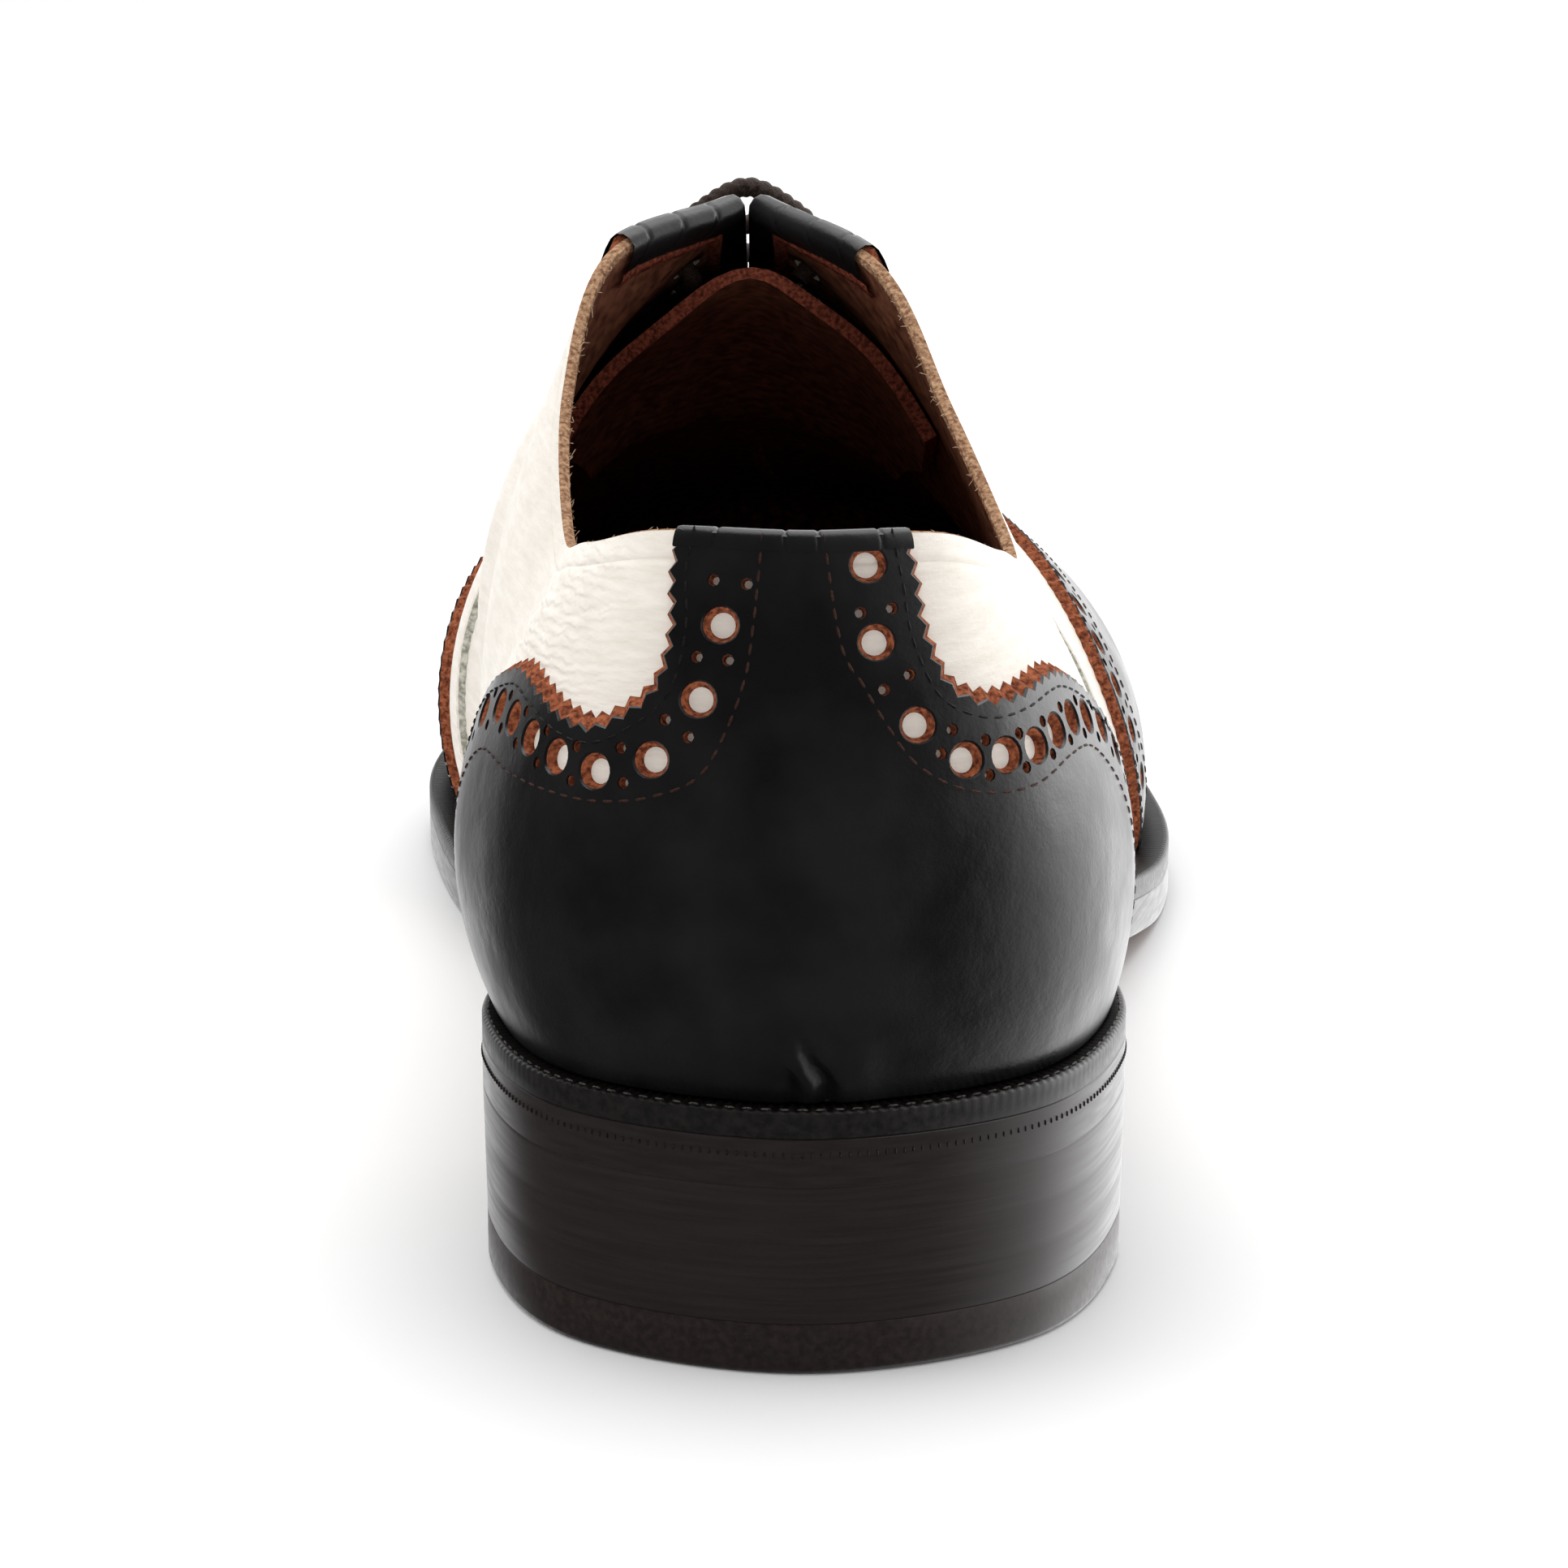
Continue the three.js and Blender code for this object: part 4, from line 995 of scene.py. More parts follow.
def make_facing(name, side, solid):
    """A side's facing, with its stitches and its folded rim."""
    low = FACING_LOW
    top = [(low[-1][0], 1), (CORNER_ROW + 1, 1), (CORNER_ROW, 1), (5.5, 1), (low[0][0], 1)]
    along = np.arange(low[0][0], THROAT_ROW - 0.1, 0.012)
    pleats = FACING_PLEATS
    if side < 0:
        low, top = inner_front(low)[::-1], inner_front(top)[::-1]
        along = ROUND - along[::-1]
        pleats = [ROUND - pleat for pleat in pleats]
    edges = [edge(low, PINK_PITCH, PINK_DEPTH, RAW)]
    edges += [edge(knots, 1.2) for knots in ([low[-1], top[0]], top, [top[-1], low[0]])]
    holes = [(pair[0 if side > 0 else 1], EYELET_RADIUS) for pair in EYELET_SPOTS]
    made = panel(name, edges, 0.0, OVERLAY_TOP, [black_calf(), raw_edge()], holes)
    place(made, "black_leather", solid)
    rows = [beside(low, EDGE_STITCHES_IN), beside(top, TOP_STITCHES_IN)]
    place(stitches(name + "_stitches", rows, OVERLAY_TOP, black_thread()), "black_leather")
    place(rolled(name + "_rim", along, FACING_RIM, 10, pleats), "black_leather")


# Eyelets and lace
def eyelet_place(i, side):
    """The spot of an eyelet, counted from the top, on one side."""
    down = EYELET_FROM_TOP + i * EYELET_PITCH
    corner, throat = top_point(np.array([CORNER_ROW, THROAT_ROW], float))
    k = CORNER_ROW + (THROAT_ROW - CORNER_ROW) * down / np.linalg.norm(throat - corner)
    u = k if side > 0 else ROUND - k
    heights = np.linspace(1, 0.5, 500)
    away = np.linalg.norm(skin(np.full(500, u), heights) - top_point(np.array(float(u))), axis=1)
    return u, heights[np.searchsorted(away, EYELET_FROM_EDGE)]


EYELET_SPOTS = [(eyelet_place(i, 1), eyelet_place(i, -1)) for i in range(EYELETS)]


def cut_eyelets(made):
    """Holes through a leather at the eyelets."""
    sides = 16
    angles = np.linspace(0, 2 * math.pi, sides, endpoint=False)
    across = [(EYELET_RADIUS * math.cos(a), EYELET_RADIUS * math.sin(a)) for a in angles]
    vertices, faces = [], []
    for spot in [spot for pair in EYELET_SPOTS for spot in pair]:
        turn = Vector(normal(*np.array(spot, float))).to_track_quat("Z", "Y")
        start = sides * len(vertices)
        for height in (-4, 3):
            rim = [turn @ Vector((x, y, height)) for x, y in across]
            vertices.append(leather(spot, 0.0) + np.array(rim))
        faces += bands(vertices[-2:], start)
        faces.append(tuple(range(start + sides - 1, start - 1, -1)))
        faces.append(tuple(range(start + sides, start + 2 * sides)))
    cutter = mesh_object("cutter", np.concatenate(vertices), faces, [])
    cut = made.modifiers.new("eyelets", "BOOLEAN")
    cut.object = cutter
    cut.operation = "DIFFERENCE"
    bpy.context.view_layer.update()
    graph = bpy.context.evaluated_depsgraph_get()
    done = bpy.data.meshes.new_from_object(made.evaluated_get(graph))
    made.modifiers.remove(cut)
    made.data = done
    bpy.data.objects.remove(cutter)


BAR_OVER = OVERLAY + 2 * GAP + LACE / 2
RUN_UNDER = WALL + GAP + LACE / 2
BEND = 0.65 * LACE
BAR_ARCH = 0.6  # how far a bar rises over the slit
TOP_BAR_ARCH = 2.2


def lace_path():
    """Points of the lace, which runs bar by bar down the facings, back and forth through the eyelets."""
    path = []

    def blend(a, b, share):
        return tuple(np.array(a) * (1 - share) + np.array(b) * share)

    def turn(hole, target, height, side):
        """A quarter turn between a hole and a level run towards another place."""
        reach = BEND / np.linalg.norm(leather(hole) - leather(target))
        part = 1 - math.sqrt(0.5)
        return [
            leather(hole, height - side * BEND),
            leather(blend(hole, target, reach * part), height - side * BEND * part),
            leather(blend(hole, target, reach), height),
        ]

    for i, pair in enumerate(EYELET_SPOTS):
        start, end = pair if i % 2 == 0 else pair[::-1]
        crest_start, crest_end = (start[0], 1), (end[0], 1)
        arch = TOP_BAR_ARCH if i == 0 else BAR_ARCH
        ridge = leather(crest_start, BAR_OVER + arch)
        ridge[0] = ridge_x(ridge[1])
        if i == 0:
            path.append(leather(start, -RUN_UNDER))
        shoulder = BAR_OVER + 0.4 * (arch - BAR_ARCH)
        path += [leather(start, -WALL / 2), *turn(start, crest_start, BAR_OVER, 1)]
        path += [leather(blend(start, crest_start, 0.62), shoulder), ridge]
        path.append(leather(blend(end, crest_end, 0.62), shoulder))
        path += [*turn(end, crest_end, BAR_OVER, 1)[::-1], leather(end, -WALL / 2)]
        if i == EYELETS - 1:
            path.append(leather(end, -RUN_UNDER))
            break
        target = EYELET_SPOTS[i + 1][1 if i % 2 == 0 else 0]
        path += [*turn(end, target, -RUN_UNDER, -1), leather(blend(end, target, 0.5), -RUN_UNDER)]
        path += turn(target, end, -RUN_UNDER, -1)[::-1]
    return np.array(path)


def smooth_path(path, pitch):
    """Centripetal Catmull-Rom through a path, resampled at a pitch."""
    gaps = np.sqrt(np.linalg.norm(np.diff(path, axis=0), axis=1))
    knots = np.concatenate([[0], np.cumsum(gaps)])
    fine = np.linspace(0, knots[-1], 30 * len(path))
    tangents = np.gradient(path, knots, axis=0)
    i = np.clip(np.searchsorted(knots, fine, side="right") - 1, 0, len(gaps) - 1)
    h = (knots[i + 1] - knots[i])[:, None]
    f = ((fine - knots[i])[:, None]) / h
    points_at = (
        path[i] * (2 * f**3 - 3 * f**2 + 1)
        + tangents[i] * h * (f**3 - 2 * f**2 + f)
        + path[i + 1] * (3 * f**2 - 2 * f**3)
        + tangents[i + 1] * h * (f**3 - f**2)
    )
    at = np.concatenate([[0], np.cumsum(np.linalg.norm(np.diff(points_at, axis=0), axis=1))])
    marks = np.linspace(0, at[-1], round(at[-1] / pitch))
    return np.stack([np.interp(marks, at, points_at[:, c]) for c in range(3)], axis=-1)


BRAID_PITCH = 1.5
BRAID_STEP = 0.3
BRAID_SIDES = 18
BRAID_RELIEF = 0.12


def make_lace():
    """A round braided cord: raised strands cross over it both ways."""
    middle = smooth_path(lace_path(), BRAID_STEP)
    along = unit(np.gradient(middle, axis=0))
    side = np.zeros_like(middle)
    first = np.cross(along[0], (0, 0, 1))
    for i, way in enumerate(along):
        first = unit(first - way * first.dot(way))
        side[i] = first
    other = np.cross(along, side)
    angle = np.linspace(0, 2 * math.pi, BRAID_SIDES, endpoint=False)
    turn = 2 * math.pi * np.arange(len(middle))[:, None] * BRAID_STEP / BRAID_PITCH
    weave = np.maximum(np.cos(3 * angle + turn), np.cos(3 * angle - turn))
    radius = LACE / 2 - BRAID_RELIEF + BRAID_RELIEF * weave
    around_it = side[:, None] * np.cos(angle)[:, None] + other[:, None] * np.sin(angle)[:, None]
    vertices = middle[:, None] + radius[..., None] * around_it
    faces = bands(vertices)
    last = (len(middle) - 1) * BRAID_SIDES
    faces += [tuple(range(BRAID_SIDES - 1, -1, -1)), tuple(range(last, last + BRAID_SIDES))]
    made = mesh_object("lace_braid", vertices.reshape(-1, 3), faces, [lace_cotton()])
    place(made, "lace_cotton", "lace")


# Tongue
TONGUE_ROWS = np.linspace(6, 9.2, 40)
TONGUE_EASING = 6
TONGUE_HALF = 14  # points on each side


def rounded_over(rows):
    """Rows of points with their ridge eased into an arch, their ends held."""
    rows = rows.copy()
    for _ in range(TONGUE_EASING):
        rows[:, 1:-1] = (rows[:, :-2] + 2 * rows[:, 1:-1] + rows[:, 2:]) / 4
    return rows


def make_tongue():
    """The tongue lies under the lace, then close under the vamp."""
    share = np.linspace(0, 1, TONGUE_HALF)
    rises = np.concatenate([share, share[::-1]])
    sides = np.repeat([1.0, -1.0], TONGUE_HALF)
    k, s = np.meshgrid(TONGUE_ROWS, rises, indexing="ij")
    low = 0.58 + 0.16 * clamp(k, THROAT_ROW - 1, THROAT_ROW + 1)
    t = low + (0.95 - low) * s
    u = np.where(sides > 0, k, ROUND - k)
    laced = clamp(k, THROAT_ROW + 0.6, THROAT_ROW - 0.4) * clamp(t, 0.74, 0.84)
    depth = WALL + GAP + (LACE + GAP) * laced
    spots = np.stack([u, t], axis=-1)
    layers = [rounded_over(leather(spots, -down)) for down in (depth, depth + TONGUE)]
    rows, columns = t.shape
    count = rows * columns
    outer = grid_faces(rows, columns)
    inside = [tuple(count + v for v in face[::-1]) for face in outer]
    at = np.arange(count).reshape(rows, columns)
    border = np.concatenate([at[0], at[1:, -1], at[-1, -2::-1], at[-2:0:-1, 0]])
    walls = [(b, a, a + count, b + count) for a, b in zip(border, np.roll(border, -1))]
    faces = outer + inside + walls
    paint_of = [0] * len(outer) + [1] * len(inside) + [2] * len(walls)
    vertices = np.concatenate([layer.reshape(-1, 3) for layer in layers])
    paints = [black_calf(), lining(), suede_edge()]
    made = mesh_object("tongue_leather", vertices, faces, paints, paint_of)
    place(made, "tongue_leather", "tongue")


# Sole
def on_side(rows, side):
    """The rows as u on one side."""
    return rows if side > 0 else (ROUND - rows) % ROUND


def stations(pitch):
    """Rows up the outer side and back down the inner side, evenly spaced on the sole's edge."""
    fine = np.linspace(0, TOE_ROW, 3000)
    runs = []
    for side in (1, -1):
        line, _ = sole_edge(on_side(fine, side))
        runs.append(np.concatenate([[0], np.cumsum(np.linalg.norm(np.diff(line, axis=0), axis=1))]))
    count = round(max(run[-1] for run in runs) / pitch)
    outer, inside = [np.interp(np.linspace(0, run[-1], count + 1), run, fine) for run in runs]
    return np.concatenate([outer, ROUND - inside[1:-1][::-1]])


def level(at, inset, up, base=sole_under):
    """A closed line round the sole at a height over its base."""
    line, _ = sole_edge(at, np.broadcast_to(inset, at.shape))
    line[:, 2] = base(line[:, 1]) + up
    return line


def capped(rings_at):
    """Bands between closed rings, with rungs across the first and the last."""
    count = len(rings_at[0])
    faces = bands(rings_at)
    for start, up in ((0, False), ((len(rings_at) - 1) * count, True)):
        for j in range(count // 2):
            corners = (j, j + 1, (2 * count - j - 1) % count, (2 * count - j) % count)
            face = list(dict.fromkeys(start + corner for corner in corners))
            if len(face) > 2:
                faces.append(tuple(face) if up else tuple(face[::-1]))
    return faces


RIB_PITCH = 1.2
RIB_HEIGHT = 0.22


def make_welt():
    """The welt, with its top wheeled in ribs across it all the way round."""
    at = stations(RIB_PITCH / 4)
    phase = np.arange(len(at)) % 4
    rib = RIB_HEIGHT * (phase == 0) - RIB_HEIGHT / 2 * (phase == 2)
    margin = ring(MARGINS, at)
    base = OUTSOLE + GAP
    lines = [
        level(at, margin + WALL + 2.5, base),
        level(at, 0.15, base),
        level(at, 0, base + 0.15),
        level(at, 0, base + WELT - 0.4),
        level(at, 0.35, base + WELT - 0.05 + rib * 0.5),
        level(at, 0.9, base + WELT - 0.1 + rib),
        level(at, margin - 0.9, base + WELT - 0.1 + rib),
        level(at, margin - 0.4, base + WELT - 0.35),
        level(at, margin + WALL + 2.5, base + WELT - 0.35),
    ]
    vertices = np.concatenate(lines)
    faces = bands(lines + [lines[0]])
    faces = [tuple(v % len(vertices) for v in face) for face in faces]
    place(mesh_object("welt_ribbed", vertices, faces, [welt_edge()], crease=60), "edge_leather", "welt")


def make_outsole():
    """The outsole, whose lower edge is rubbed round in front of the heel."""
    at = stations(1.5)
    edge_line, _ = sole_edge(at)
    rubbed = 0.1 + 0.9 * smooth(edge_line[:, 1], BREAST - 3, BREAST + 8)
    top = OUTSOLE + GAP
    lines = [
        level(at, 1.6, 0),
        level(at, 0.7 * rubbed, 0),
        level(at, 0.2 * rubbed, 0.3 * rubbed),
        level(at, 0, 0.8 * rubbed),
        level(at, 0, top - 0.15),
        level(at, 0.15, top),
        level(at, 1.6, top),
    ]
    faces = capped(lines)
    paint_of = [int(max(face) < 2 * len(at)) for face in faces]
    paints = [sole_edge_ink(), sole_grain()]
    made = mesh_object("outsole_leather", np.concatenate(lines), faces, paints, paint_of)
    place(made, "sole_leather", "outsole")


def make_insole():
    at = stations(2.0)
    inset = ring(MARGINS, at) + WALL + 2 * GAP
    lines = [
        level(at, inset, SEAT),
        level(at, inset, SEAT + INSOLE - 0.5),
        level(at, inset + 0.6, SEAT + INSOLE),
    ]
    made = mesh_object("insole_sock", np.concatenate(lines), capped(lines), [sock()])
    place(made, "insole_leather", "insole")


# Heel
HEEL_TAPER = 0.3
LIFTS = 3
GROOVE = 0.06  # between the lifts, mm deep


def heel_line(inset):
    """The heel's outline: the sole's edge behind the breast, then across the hollow breast."""
    fine = np.linspace(0, 8, 4000)
    halves = []
    for side in (1, -1):
        base, _ = sole_edge(on_side(fine, side))
        rows = np.linspace(0, fine[np.argmax(base[:, 1] >= BREAST)], 70)
        line, _ = sole_edge(on_side(rows, side), np.full(70, inset))
        halves.append(line)
    share = np.linspace(0, 1, 40)[1:-1, None]
    breast = halves[0][-1] * (1 - share) + halves[1][-1] * share
    breast[:, 1] -= (4 * BREAST_HOLLOW * share * (1 - share))[:, 0]
    return np.concatenate([halves[0], breast, halves[1][1:][::-1]])


def heel_rings(levels):
    """Closed rings from (inset, height of a point) pairs."""
    rings_at = []
    for inset, height in levels:
        line = heel_line(inset)
        line[:, 2] = height(line[:, 1])
        rings_at.append(line)
    return rings_at


def fan_capped(rings_at):
    """Bands between heel rings, closed by a fan from a middle point at each end."""
    count = len(rings_at[0])
    faces = bands(rings_at)
    middles = [rings_at[0].mean(axis=0), rings_at[-1].mean(axis=0)]
    total = count * len(rings_at)
    last = count * (len(rings_at) - 1)
    for j in range(count):
        k = (j + 1) % count
        faces.append((total, k, j))
        faces.append((total + 1, last + j, last + k))
    return np.concatenate([*rings_at, middles]), faces


def make_lifts():
    def at_share(share):
        return lambda y: TOP_PIECE + (sole_under(y) - TOP_PIECE) * share

    levels = [(HEEL_TAPER + 0.12, at_share(0))]
    for i in range(LIFTS):
        low, high = i / LIFTS, (i + 1) / LIFTS
        for share, groove in ((low + 0.02, 0), (high - 0.03, 0), (high - 0.01, GROOVE * (i < LIFTS - 1))):
            levels.append((HEEL_TAPER * (1 - share) + groove, at_share(share)))
    levels.append((0.08, at_share(1)))
    vertices, faces = fan_capped(heel_rings(levels))
    made = mesh_object("heel_lifts", vertices, faces, [heel_leather()], crease=50)
    place(made, "heel_leather", "heel_stack")


def make_top_piece():
    """The rubber under the heel, with a rubbed lower edge."""

    def flat_at(height):
        return lambda y: 0 * y + height

    steps = [(0.9, 0), (0.3, 0.2), (0, 0.8), (0, TOP_PIECE - 0.12), (0.12, TOP_PIECE)]
    levels = [(HEEL_TAPER + inset, flat_at(height)) for inset, height in steps]
    vertices, faces = fan_capped(heel_rings(levels))
    made = mesh_object("heel_rubber", vertices, faces, [heel_rubber()], crease=50)
    place(made, "heel_rubber", "heel_top_piece")


WHEEL_PITCH = 1.0
WHEEL_UP = 3.6  # of the wheeled marks, from the outsole's underside
SEAT_PITCH = 2.0


def round_heel(pitch, inset, up):
    """Places a pitch apart round the heel at a height over the outsole's underside, and their way out."""
    at = stations(pitch)
    line, outward = sole_edge(at)
    near = line[:, 1] < BREAST
    return level(at, inset, up)[near], outward[near]


def make_wheel_marks():
    places, outward = round_heel(WHEEL_PITCH, -0.02, WHEEL_UP)
    upright = np.tile((0.0, 0.0, 1.0), (len(places), 1))
    made = threads("wheel_marks", places, upright, outward, wheel_ink(), 0.65, 0.24)
    place(made, "edge_leather")


def make_seat_stitches():
    """Stitches of the heel seat on the welt; their light grey colour is a painted highlight where they catch
    the light.
    """
    places, outward = round_heel(SEAT_PITCH, 0.75, OUTSOLE + GAP + WELT + 0.02)
    upright = np.tile((0.0, 0.0, 1.0), (len(places), 1))
    made = threads("seat_stitches_painted_highlight", places, np.cross(upright, outward), upright, seat_thread_painted_highlight(), 1.2, 0.28)
    place(made, "edge_leather")


# Materials
def paint(name, colour, roughness, coat=0.0, coat_roughness=0.15, specular=0.5):
    """A material with its graph, and its shader node."""
    made = bpy.data.materials.get(name)
    if made:
        return made, None
    made = bpy.data.materials.new(name)
    made.use_nodes = True
    shader = made.node_tree.nodes["Principled BSDF"]
    shader.inputs["Base Color"].default_value = (*colour, 1)
    shader.inputs["Roughness"].default_value = roughness
    shader.inputs["Coat Weight"].default_value = coat
    shader.inputs["Coat Roughness"].default_value = coat_roughness
    shader.inputs["Specular IOR Level"].default_value = specular
    made.diffuse_color = (*colour, 1)
    return made, shader


def node(made, kind, links=(), **values):
    """A node with its plain values set and its inputs linked. An underscore stands for a blank."""
    added = made.node_tree.nodes.new(kind)
    for name, value in values.items():
        if hasattr(added, name):
            setattr(added, name, value)
        else:
            added.inputs[name.replace("_", " ")].default_value = value
    for socket, source in links:
        made.node_tree.links.new(source, added.inputs[socket])
    return added


def noise(made, per_mm, detail=2.0, stretch=(1, 1, 1), rough=0.5):
    """Noise with so many grains a millimetre, stretched along the shoe's axes."""
    where = node(made, "ShaderNodeTexCoord").outputs["Object"]
    size = node(made, "ShaderNodeMapping", [("Vector", where)], Scale=[per_mm / MM * s for s in stretch])
    links = [("Vector", size.outputs["Vector"])]
    return node(made, "ShaderNodeTexNoise", links, Scale=1.0, Detail=detail, Roughness=rough).outputs["Fac"]


def add_bump(made, shader, layers):
    """Bumps from (height socket, depth in mm) layers, one over the other."""
    last = None
    for height, depth in layers:
        links = [("Height", height)] + ([("Normal", last)] if last else [])
        bump = node(made, "ShaderNodeBump", links, Strength=1.0, Distance=depth * MM)
        last = bump.outputs["Normal"]
    made.node_tree.links.new(last, shader.inputs["Normal"])


LOW, HIGH = 0.35, 0.65  # between which most of a noise lies


def mottle(made, shader, height, dark, light):
    """Colour that varies between two shades with a height."""
    ramp = node(made, "ShaderNodeValToRGB", [("Fac", height)])
    for stop, position, colour in zip(ramp.color_ramp.elements, (LOW, HIGH), (dark, light)):
        stop.position = position
        stop.color = (*colour, 1)
    made.node_tree.links.new(ramp.outputs["Color"], shader.inputs["Base Color"])


def uneven_gloss(made, shader, height, low, high):
    """Roughness that varies between two values with a height."""
    spread = node(made, "ShaderNodeMapRange", [("Value", height)], From_Min=LOW, From_Max=HIGH, To_Min=low,
                  To_Max=high)
    made.node_tree.links.new(spread.outputs["Result"], shader.inputs["Roughness"])


def grained(name, dark, light, per_mm, depth, roughness, detail=4, stretch=(1, 1, 1), **finish):
    """A material whose colour and height follow one grain."""
    middle = tuple((a + b) / 2 for a, b in zip(dark, light))
    made, shader = paint(name, middle, roughness, **finish)
    if shader:
        grain = noise(made, per_mm, detail, stretch)
        mottle(made, shader, grain, dark, light)
        add_bump(made, shader, [(grain, depth)])
    return made


def black_calf():
    made, shader = paint("black calf", (0.005, 0.005, 0.006), 0.34, specular=0.4)
    if shader:
        swell = noise(made, 0.08, 3)
        mottle(made, shader, swell, (0.003, 0.003, 0.0035), (0.009, 0.009, 0.01))
        uneven_gloss(made, shader, swell, 0.27, 0.4)
        add_bump(made, shader, [(noise(made, 2.2, 3), 0.03), (noise(made, 0.25, 2), 0.12)])
    return made


WRINKLES_FROM = (leather((ROUND - 1.75, 0.815)) + SHIFT) * MM
WRINKLES_TILT = 15  # degrees up towards the back strip


def fine_wrinkles(made):
    """Close wrinkles in one patch of the medial quarter, which fade out round its middle."""
    where = node(made, "ShaderNodeTexCoord").outputs["Object"]
    tilt = (0, math.radians(WRINKLES_TILT), 0)
    turned = node(made, "ShaderNodeMapping", [("Vector", where)], Rotation=tilt, Scale=[1 / MM] * 3)
    waves = node(made, "ShaderNodeTexWave", [("Vector", turned.outputs["Vector"])], bands_direction="Z",
                 Scale=0.34, Distortion=5.0, Detail=2.0, Detail_Scale=1.0)
    away = node(made, "ShaderNodeVectorMath", [(0, where)], operation="DISTANCE")
    away.inputs[1].default_value = WRINKLES_FROM
    fade = node(made, "ShaderNodeMapRange", [("Value", away.outputs["Value"])], From_Min=0.007,
                From_Max=0.024, To_Min=1.0, To_Max=0.0)
    links = [(0, waves.outputs["Fac"]), (1, fade.outputs["Result"])]
    return node(made, "ShaderNodeMath", links, operation="MULTIPLY").outputs["Value"]


def white_calf():
    colour = (0.82, 0.77, 0.7)
    made, shader = paint("white calf", colour, 0.45, coat=0.05, coat_roughness=0.35, specular=0.35)
    if shader:
        wrinkles = noise(made, 0.32, 4, stretch=(0.45, 0.45, 2.4), rough=0.6)
        grain = noise(made, 2.0, 3)
        mottle(made, shader, wrinkles, (0.78, 0.72, 0.64), (0.86, 0.81, 0.74))
        uneven_gloss(made, shader, grain, 0.4, 0.55)
        add_bump(made, shader, [(wrinkles, 0.2), (fine_wrinkles(made), 0.11), (grain, 0.04)])
    return made


def fibrous(name, dark, light, per_mm, depth):
    """A cut or napped side of leather, rough and matt."""
    return grained(name, dark, light, per_mm, depth, 0.88, specular=0.2)


def raw_edge():
    return fibrous("raw brown edge", (0.1, 0.022, 0.01), (0.4, 0.12, 0.05), 1.6, 0.3)


def pale_edge():
    return fibrous("raw pale edge", (0.26, 0.26, 0.21), (0.62, 0.6, 0.52), 1.4, 0.3)


def collar_edge():
    return fibrous("raw collar edge", (0.2, 0.09, 0.045), (0.55, 0.34, 0.2), 1.8, 0.35)


def suede_edge():
    return fibrous("suede edge", (0.08, 0.016, 0.009), (0.3, 0.075, 0.04), 2.0, 0.3)


def fibre():
    return fibrous("loose fibre", (0.4, 0.24, 0.14), (0.75, 0.58, 0.42), 3.0, 0.05)


def lining():
    dark, light = (0.1, 0.032, 0.017), (0.28, 0.11, 0.06)
    return grained("lining leather", dark, light, 0.6, 0.12, 0.6, detail=5, specular=0.35)


def sock():
    return grained("insole sock", (0.12, 0.045, 0.02), (0.2, 0.09, 0.045), 1.0, 0.08, 0.6)


def polished(name, dark, light, per_mm, stretch, roughness, coat):
    """Inked and waxed leather of the edges and the heel, streaked along its layers."""
    made, shader = paint(name, dark, roughness, coat=coat, coat_roughness=0.25, specular=0.4)
    if shader:
        layers = noise(made, per_mm, 4, stretch)
        mottle(made, shader, layers, dark, light)
        uneven_gloss(made, shader, layers, roughness - 0.03, roughness + 0.05)
        add_bump(made, shader, [(layers, 0.02)])
    return made


def welt_edge():
    return polished("welt", (0.006, 0.005, 0.005), (0.014, 0.011, 0.01), 1.2, (1, 1, 1), 0.4, 0.05)


def sole_edge_ink():
    dark, light = (0.015, 0.01, 0.01), (0.021, 0.014, 0.014)
    return polished("inked sole edge", dark, light, 0.6, (0.3, 0.3, 3), 0.32, 0.1)


def heel_leather():
    dark, light = (0.016, 0.011, 0.011), (0.022, 0.015, 0.014)
    return polished("heel lifts", dark, light, 0.4, (0.2, 0.2, 5), 0.32, 0.1)


def heel_rubber():
    return polished("heel rubber", (0.014, 0.009, 0.008), (0.026, 0.016, 0.014), 1.2, (1, 1, 1), 0.4, 0.05)


def sole_grain():
    return grained("sole leather", (0.13, 0.042, 0.02), (0.2, 0.07, 0.035), 0.6, 0.05, 0.42, coat=0.2)


def spun(name, dark, light, roughness=0.7):
    """Thread or cord, with its strands and a little fuzz."""
    return grained(name, dark, light, 4.0, 0.08, roughness, detail=3, specular=0.3)


def lace_cotton():
    return spun("waxed cotton", (0.014, 0.008, 0.006), (0.06, 0.034, 0.024), 0.6)


def brown_thread():
    return spun("brown thread", (0.02, 0.008, 0.005), (0.06, 0.02, 0.012))


def black_thread():
    return spun("black thread", (0.004, 0.003, 0.003), (0.016, 0.012, 0.011))


def white_thread():
    return spun("white thread", (0.6, 0.57, 0.52), (0.8, 0.78, 0.74))


# Light grey thread for the heel seat's stitches: the lightness is a painted highlight, not the thread's own
# colour.
def seat_thread_painted_highlight():
    return spun("seat thread painted highlight", (0.03, 0.026, 0.023), (0.1, 0.09, 0.08))


def wheel_ink():
    return spun("wheeled marks", (0.006, 0.004, 0.004), (0.03, 0.02, 0.018), 0.5)


def floor_paint():
    made, shader = paint("floor", (0.95, 0.95, 0.95), 0.6, specular=0.2)
    if shader:
        mottle(made, shader, noise(made, 0.002, 2), (0.94, 0.94, 0.94), (0.97, 0.97, 0.97))
    return made


# Room, lights and camera
FLOOR_HALF = 40  # metres
CAMERA_AT = (-0.0012, -0.6119, 0.184)
CAMERA_DOWN = 14.5  # degrees below level
CAMERA_LENS = 107.1


def softbox(name, where, target, width, height, power):
    """An area light that faces a target, in metres and watts."""
    light = bpy.data.lights.new(name, "AREA")
    light.shape = "RECTANGLE"
    light.size = width
    light.size_y = height
    light.energy = power
    lamp = bpy.data.objects.new(name, light)
    lamp.location = where
    lamp.rotation_euler = (Vector(target) - Vector(where)).to_track_quat("-Z", "Y").to_euler()
    bpy.context.collection.objects.link(lamp)
    return lamp


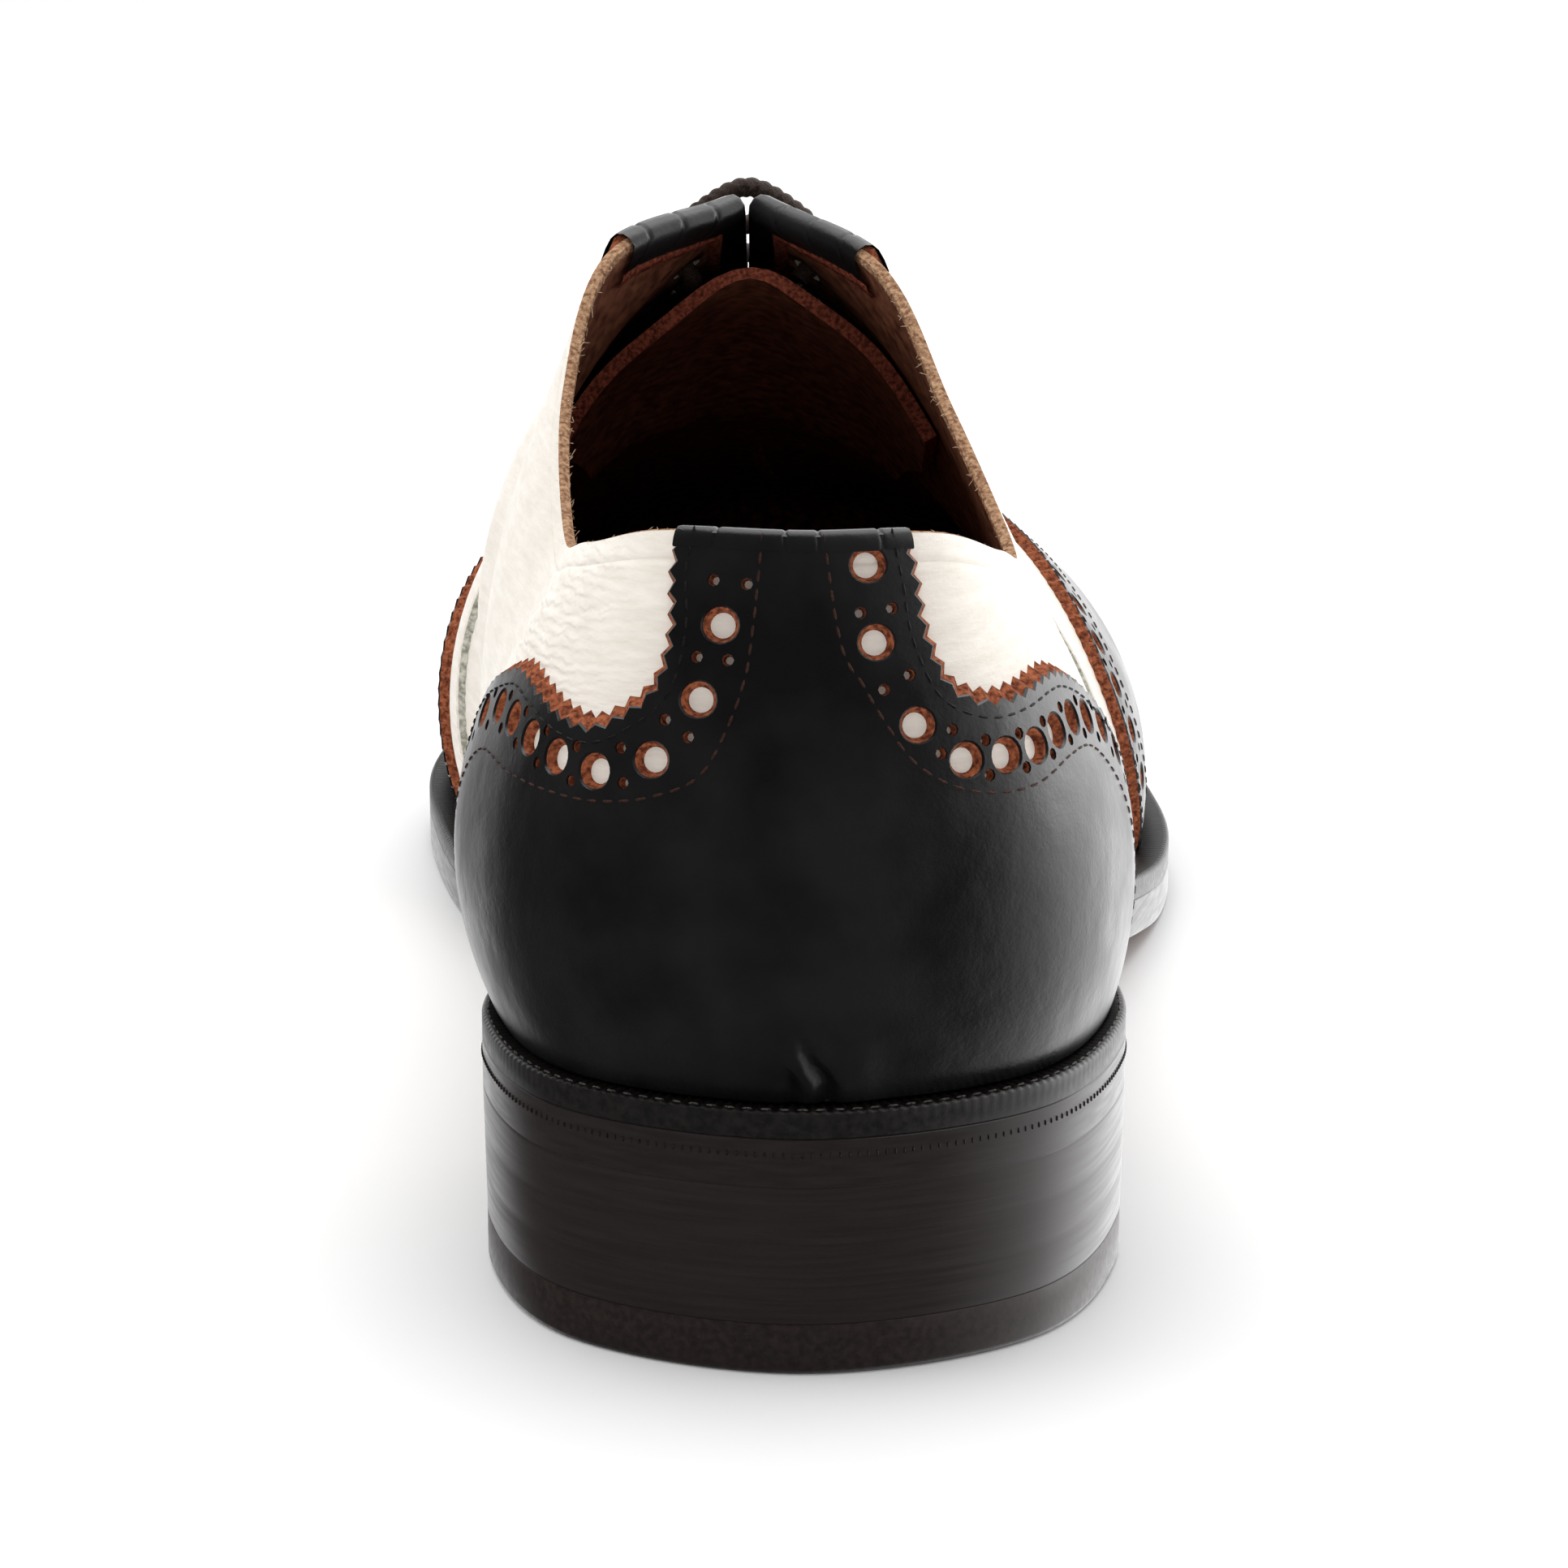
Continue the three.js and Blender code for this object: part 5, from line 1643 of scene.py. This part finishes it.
def make_floor():
    """A wide floor, which fills the whole background."""
    corners = [(-FLOOR_HALF, -FLOOR_HALF, 0), (FLOOR_HALF, -FLOOR_HALF, 0)]
    corners += [(FLOOR_HALF, FLOOR_HALF, 0), (-FLOOR_HALF, FLOOR_HALF, 0)]
    mesh = bpy.data.meshes.new("floor")
    mesh.from_pydata(corners, [], [(0, 1, 2, 3)])
    floor = bpy.data.objects.new("floor", mesh)
    bpy.context.collection.objects.link(floor)
    mesh.materials.append(floor_paint())
    return floor


ROOM_LIGHT = 0.72
DARK_SIDE = 0.1
BRIGHT_SIDE = 2.4
BRIGHT_FROM = (0.62, 0.76, 0.15)  # where the white wall stands, from the shoe


def make_world():
    """A white room. In reflections only the wall ahead and to the right is bright."""
    world = bpy.data.worlds.new("white room")
    bpy.context.scene.world = world
    world.use_nodes = True
    where = node(world, "ShaderNodeTexCoord").outputs["Generated"]
    facing = node(world, "ShaderNodeVectorMath", [(0, where)], operation="DOT_PRODUCT")
    facing.inputs[1].default_value = BRIGHT_FROM
    spread = node(world, "ShaderNodeMapRange", [("Value", facing.outputs["Value"])], From_Min=0.0,
                  From_Max=0.8, To_Min=DARK_SIDE, To_Max=BRIGHT_SIDE)
    glossy = node(world, "ShaderNodeLightPath").outputs["Is Glossy Ray"]
    links = [("Factor", glossy), ("B", spread.outputs["Result"])]
    strength = node(world, "ShaderNodeMix", links, A=ROOM_LIGHT)
    background = world.node_tree.nodes["Background"]
    background.inputs["Color"].default_value = (1, 1, 1, 1)
    world.node_tree.links.new(strength.outputs["Result"], background.inputs["Strength"])


def make_stage():
    make_world()
    target = (0, 0, 0.05)
    lamps = [
        softbox("left softbox", (-1.3, 0.1, 0.7), target, 1.0, 1.2, 5),
        softbox("top softbox", (0, 0.3, 1.6), target, 1.6, 1.4, 16),
        softbox("right softbox", (1.1, 0.45, 0.32), target, 1.0, 0.6, 4),
    ]
    floor = make_floor()
    for unseen in (floor, lamps[0]):
        unseen.visible_glossy = False


def make_camera():
    data = bpy.data.cameras.new("camera")
    data.lens = CAMERA_LENS
    data.sensor_width = 36
    data.clip_start = 0.01
    data.clip_end = 200
    camera = bpy.data.objects.new("camera", data)
    camera.location = CAMERA_AT
    camera.rotation_euler = (math.radians(90 - CAMERA_DOWN), 0, 0)
    bpy.context.collection.objects.link(camera)
    bpy.context.scene.camera = camera


def make_shoe():
    make_upper()
    make_counter()
    make_vamp()
    make_wing()
    make_facing("facing_outer_leather", 1, "facing_outer")
    make_facing("facing_inner_leather", -1, "facing_inner")
    make_tongue()
    make_lace()
    make_insole()
    make_welt()
    make_outsole()
    make_lifts()
    make_top_piece()
    make_wheel_marks()
    make_seat_stitches()


make_shoe()
make_stage()
make_camera()
bpy.context.scene.view_settings.view_transform = "Standard"
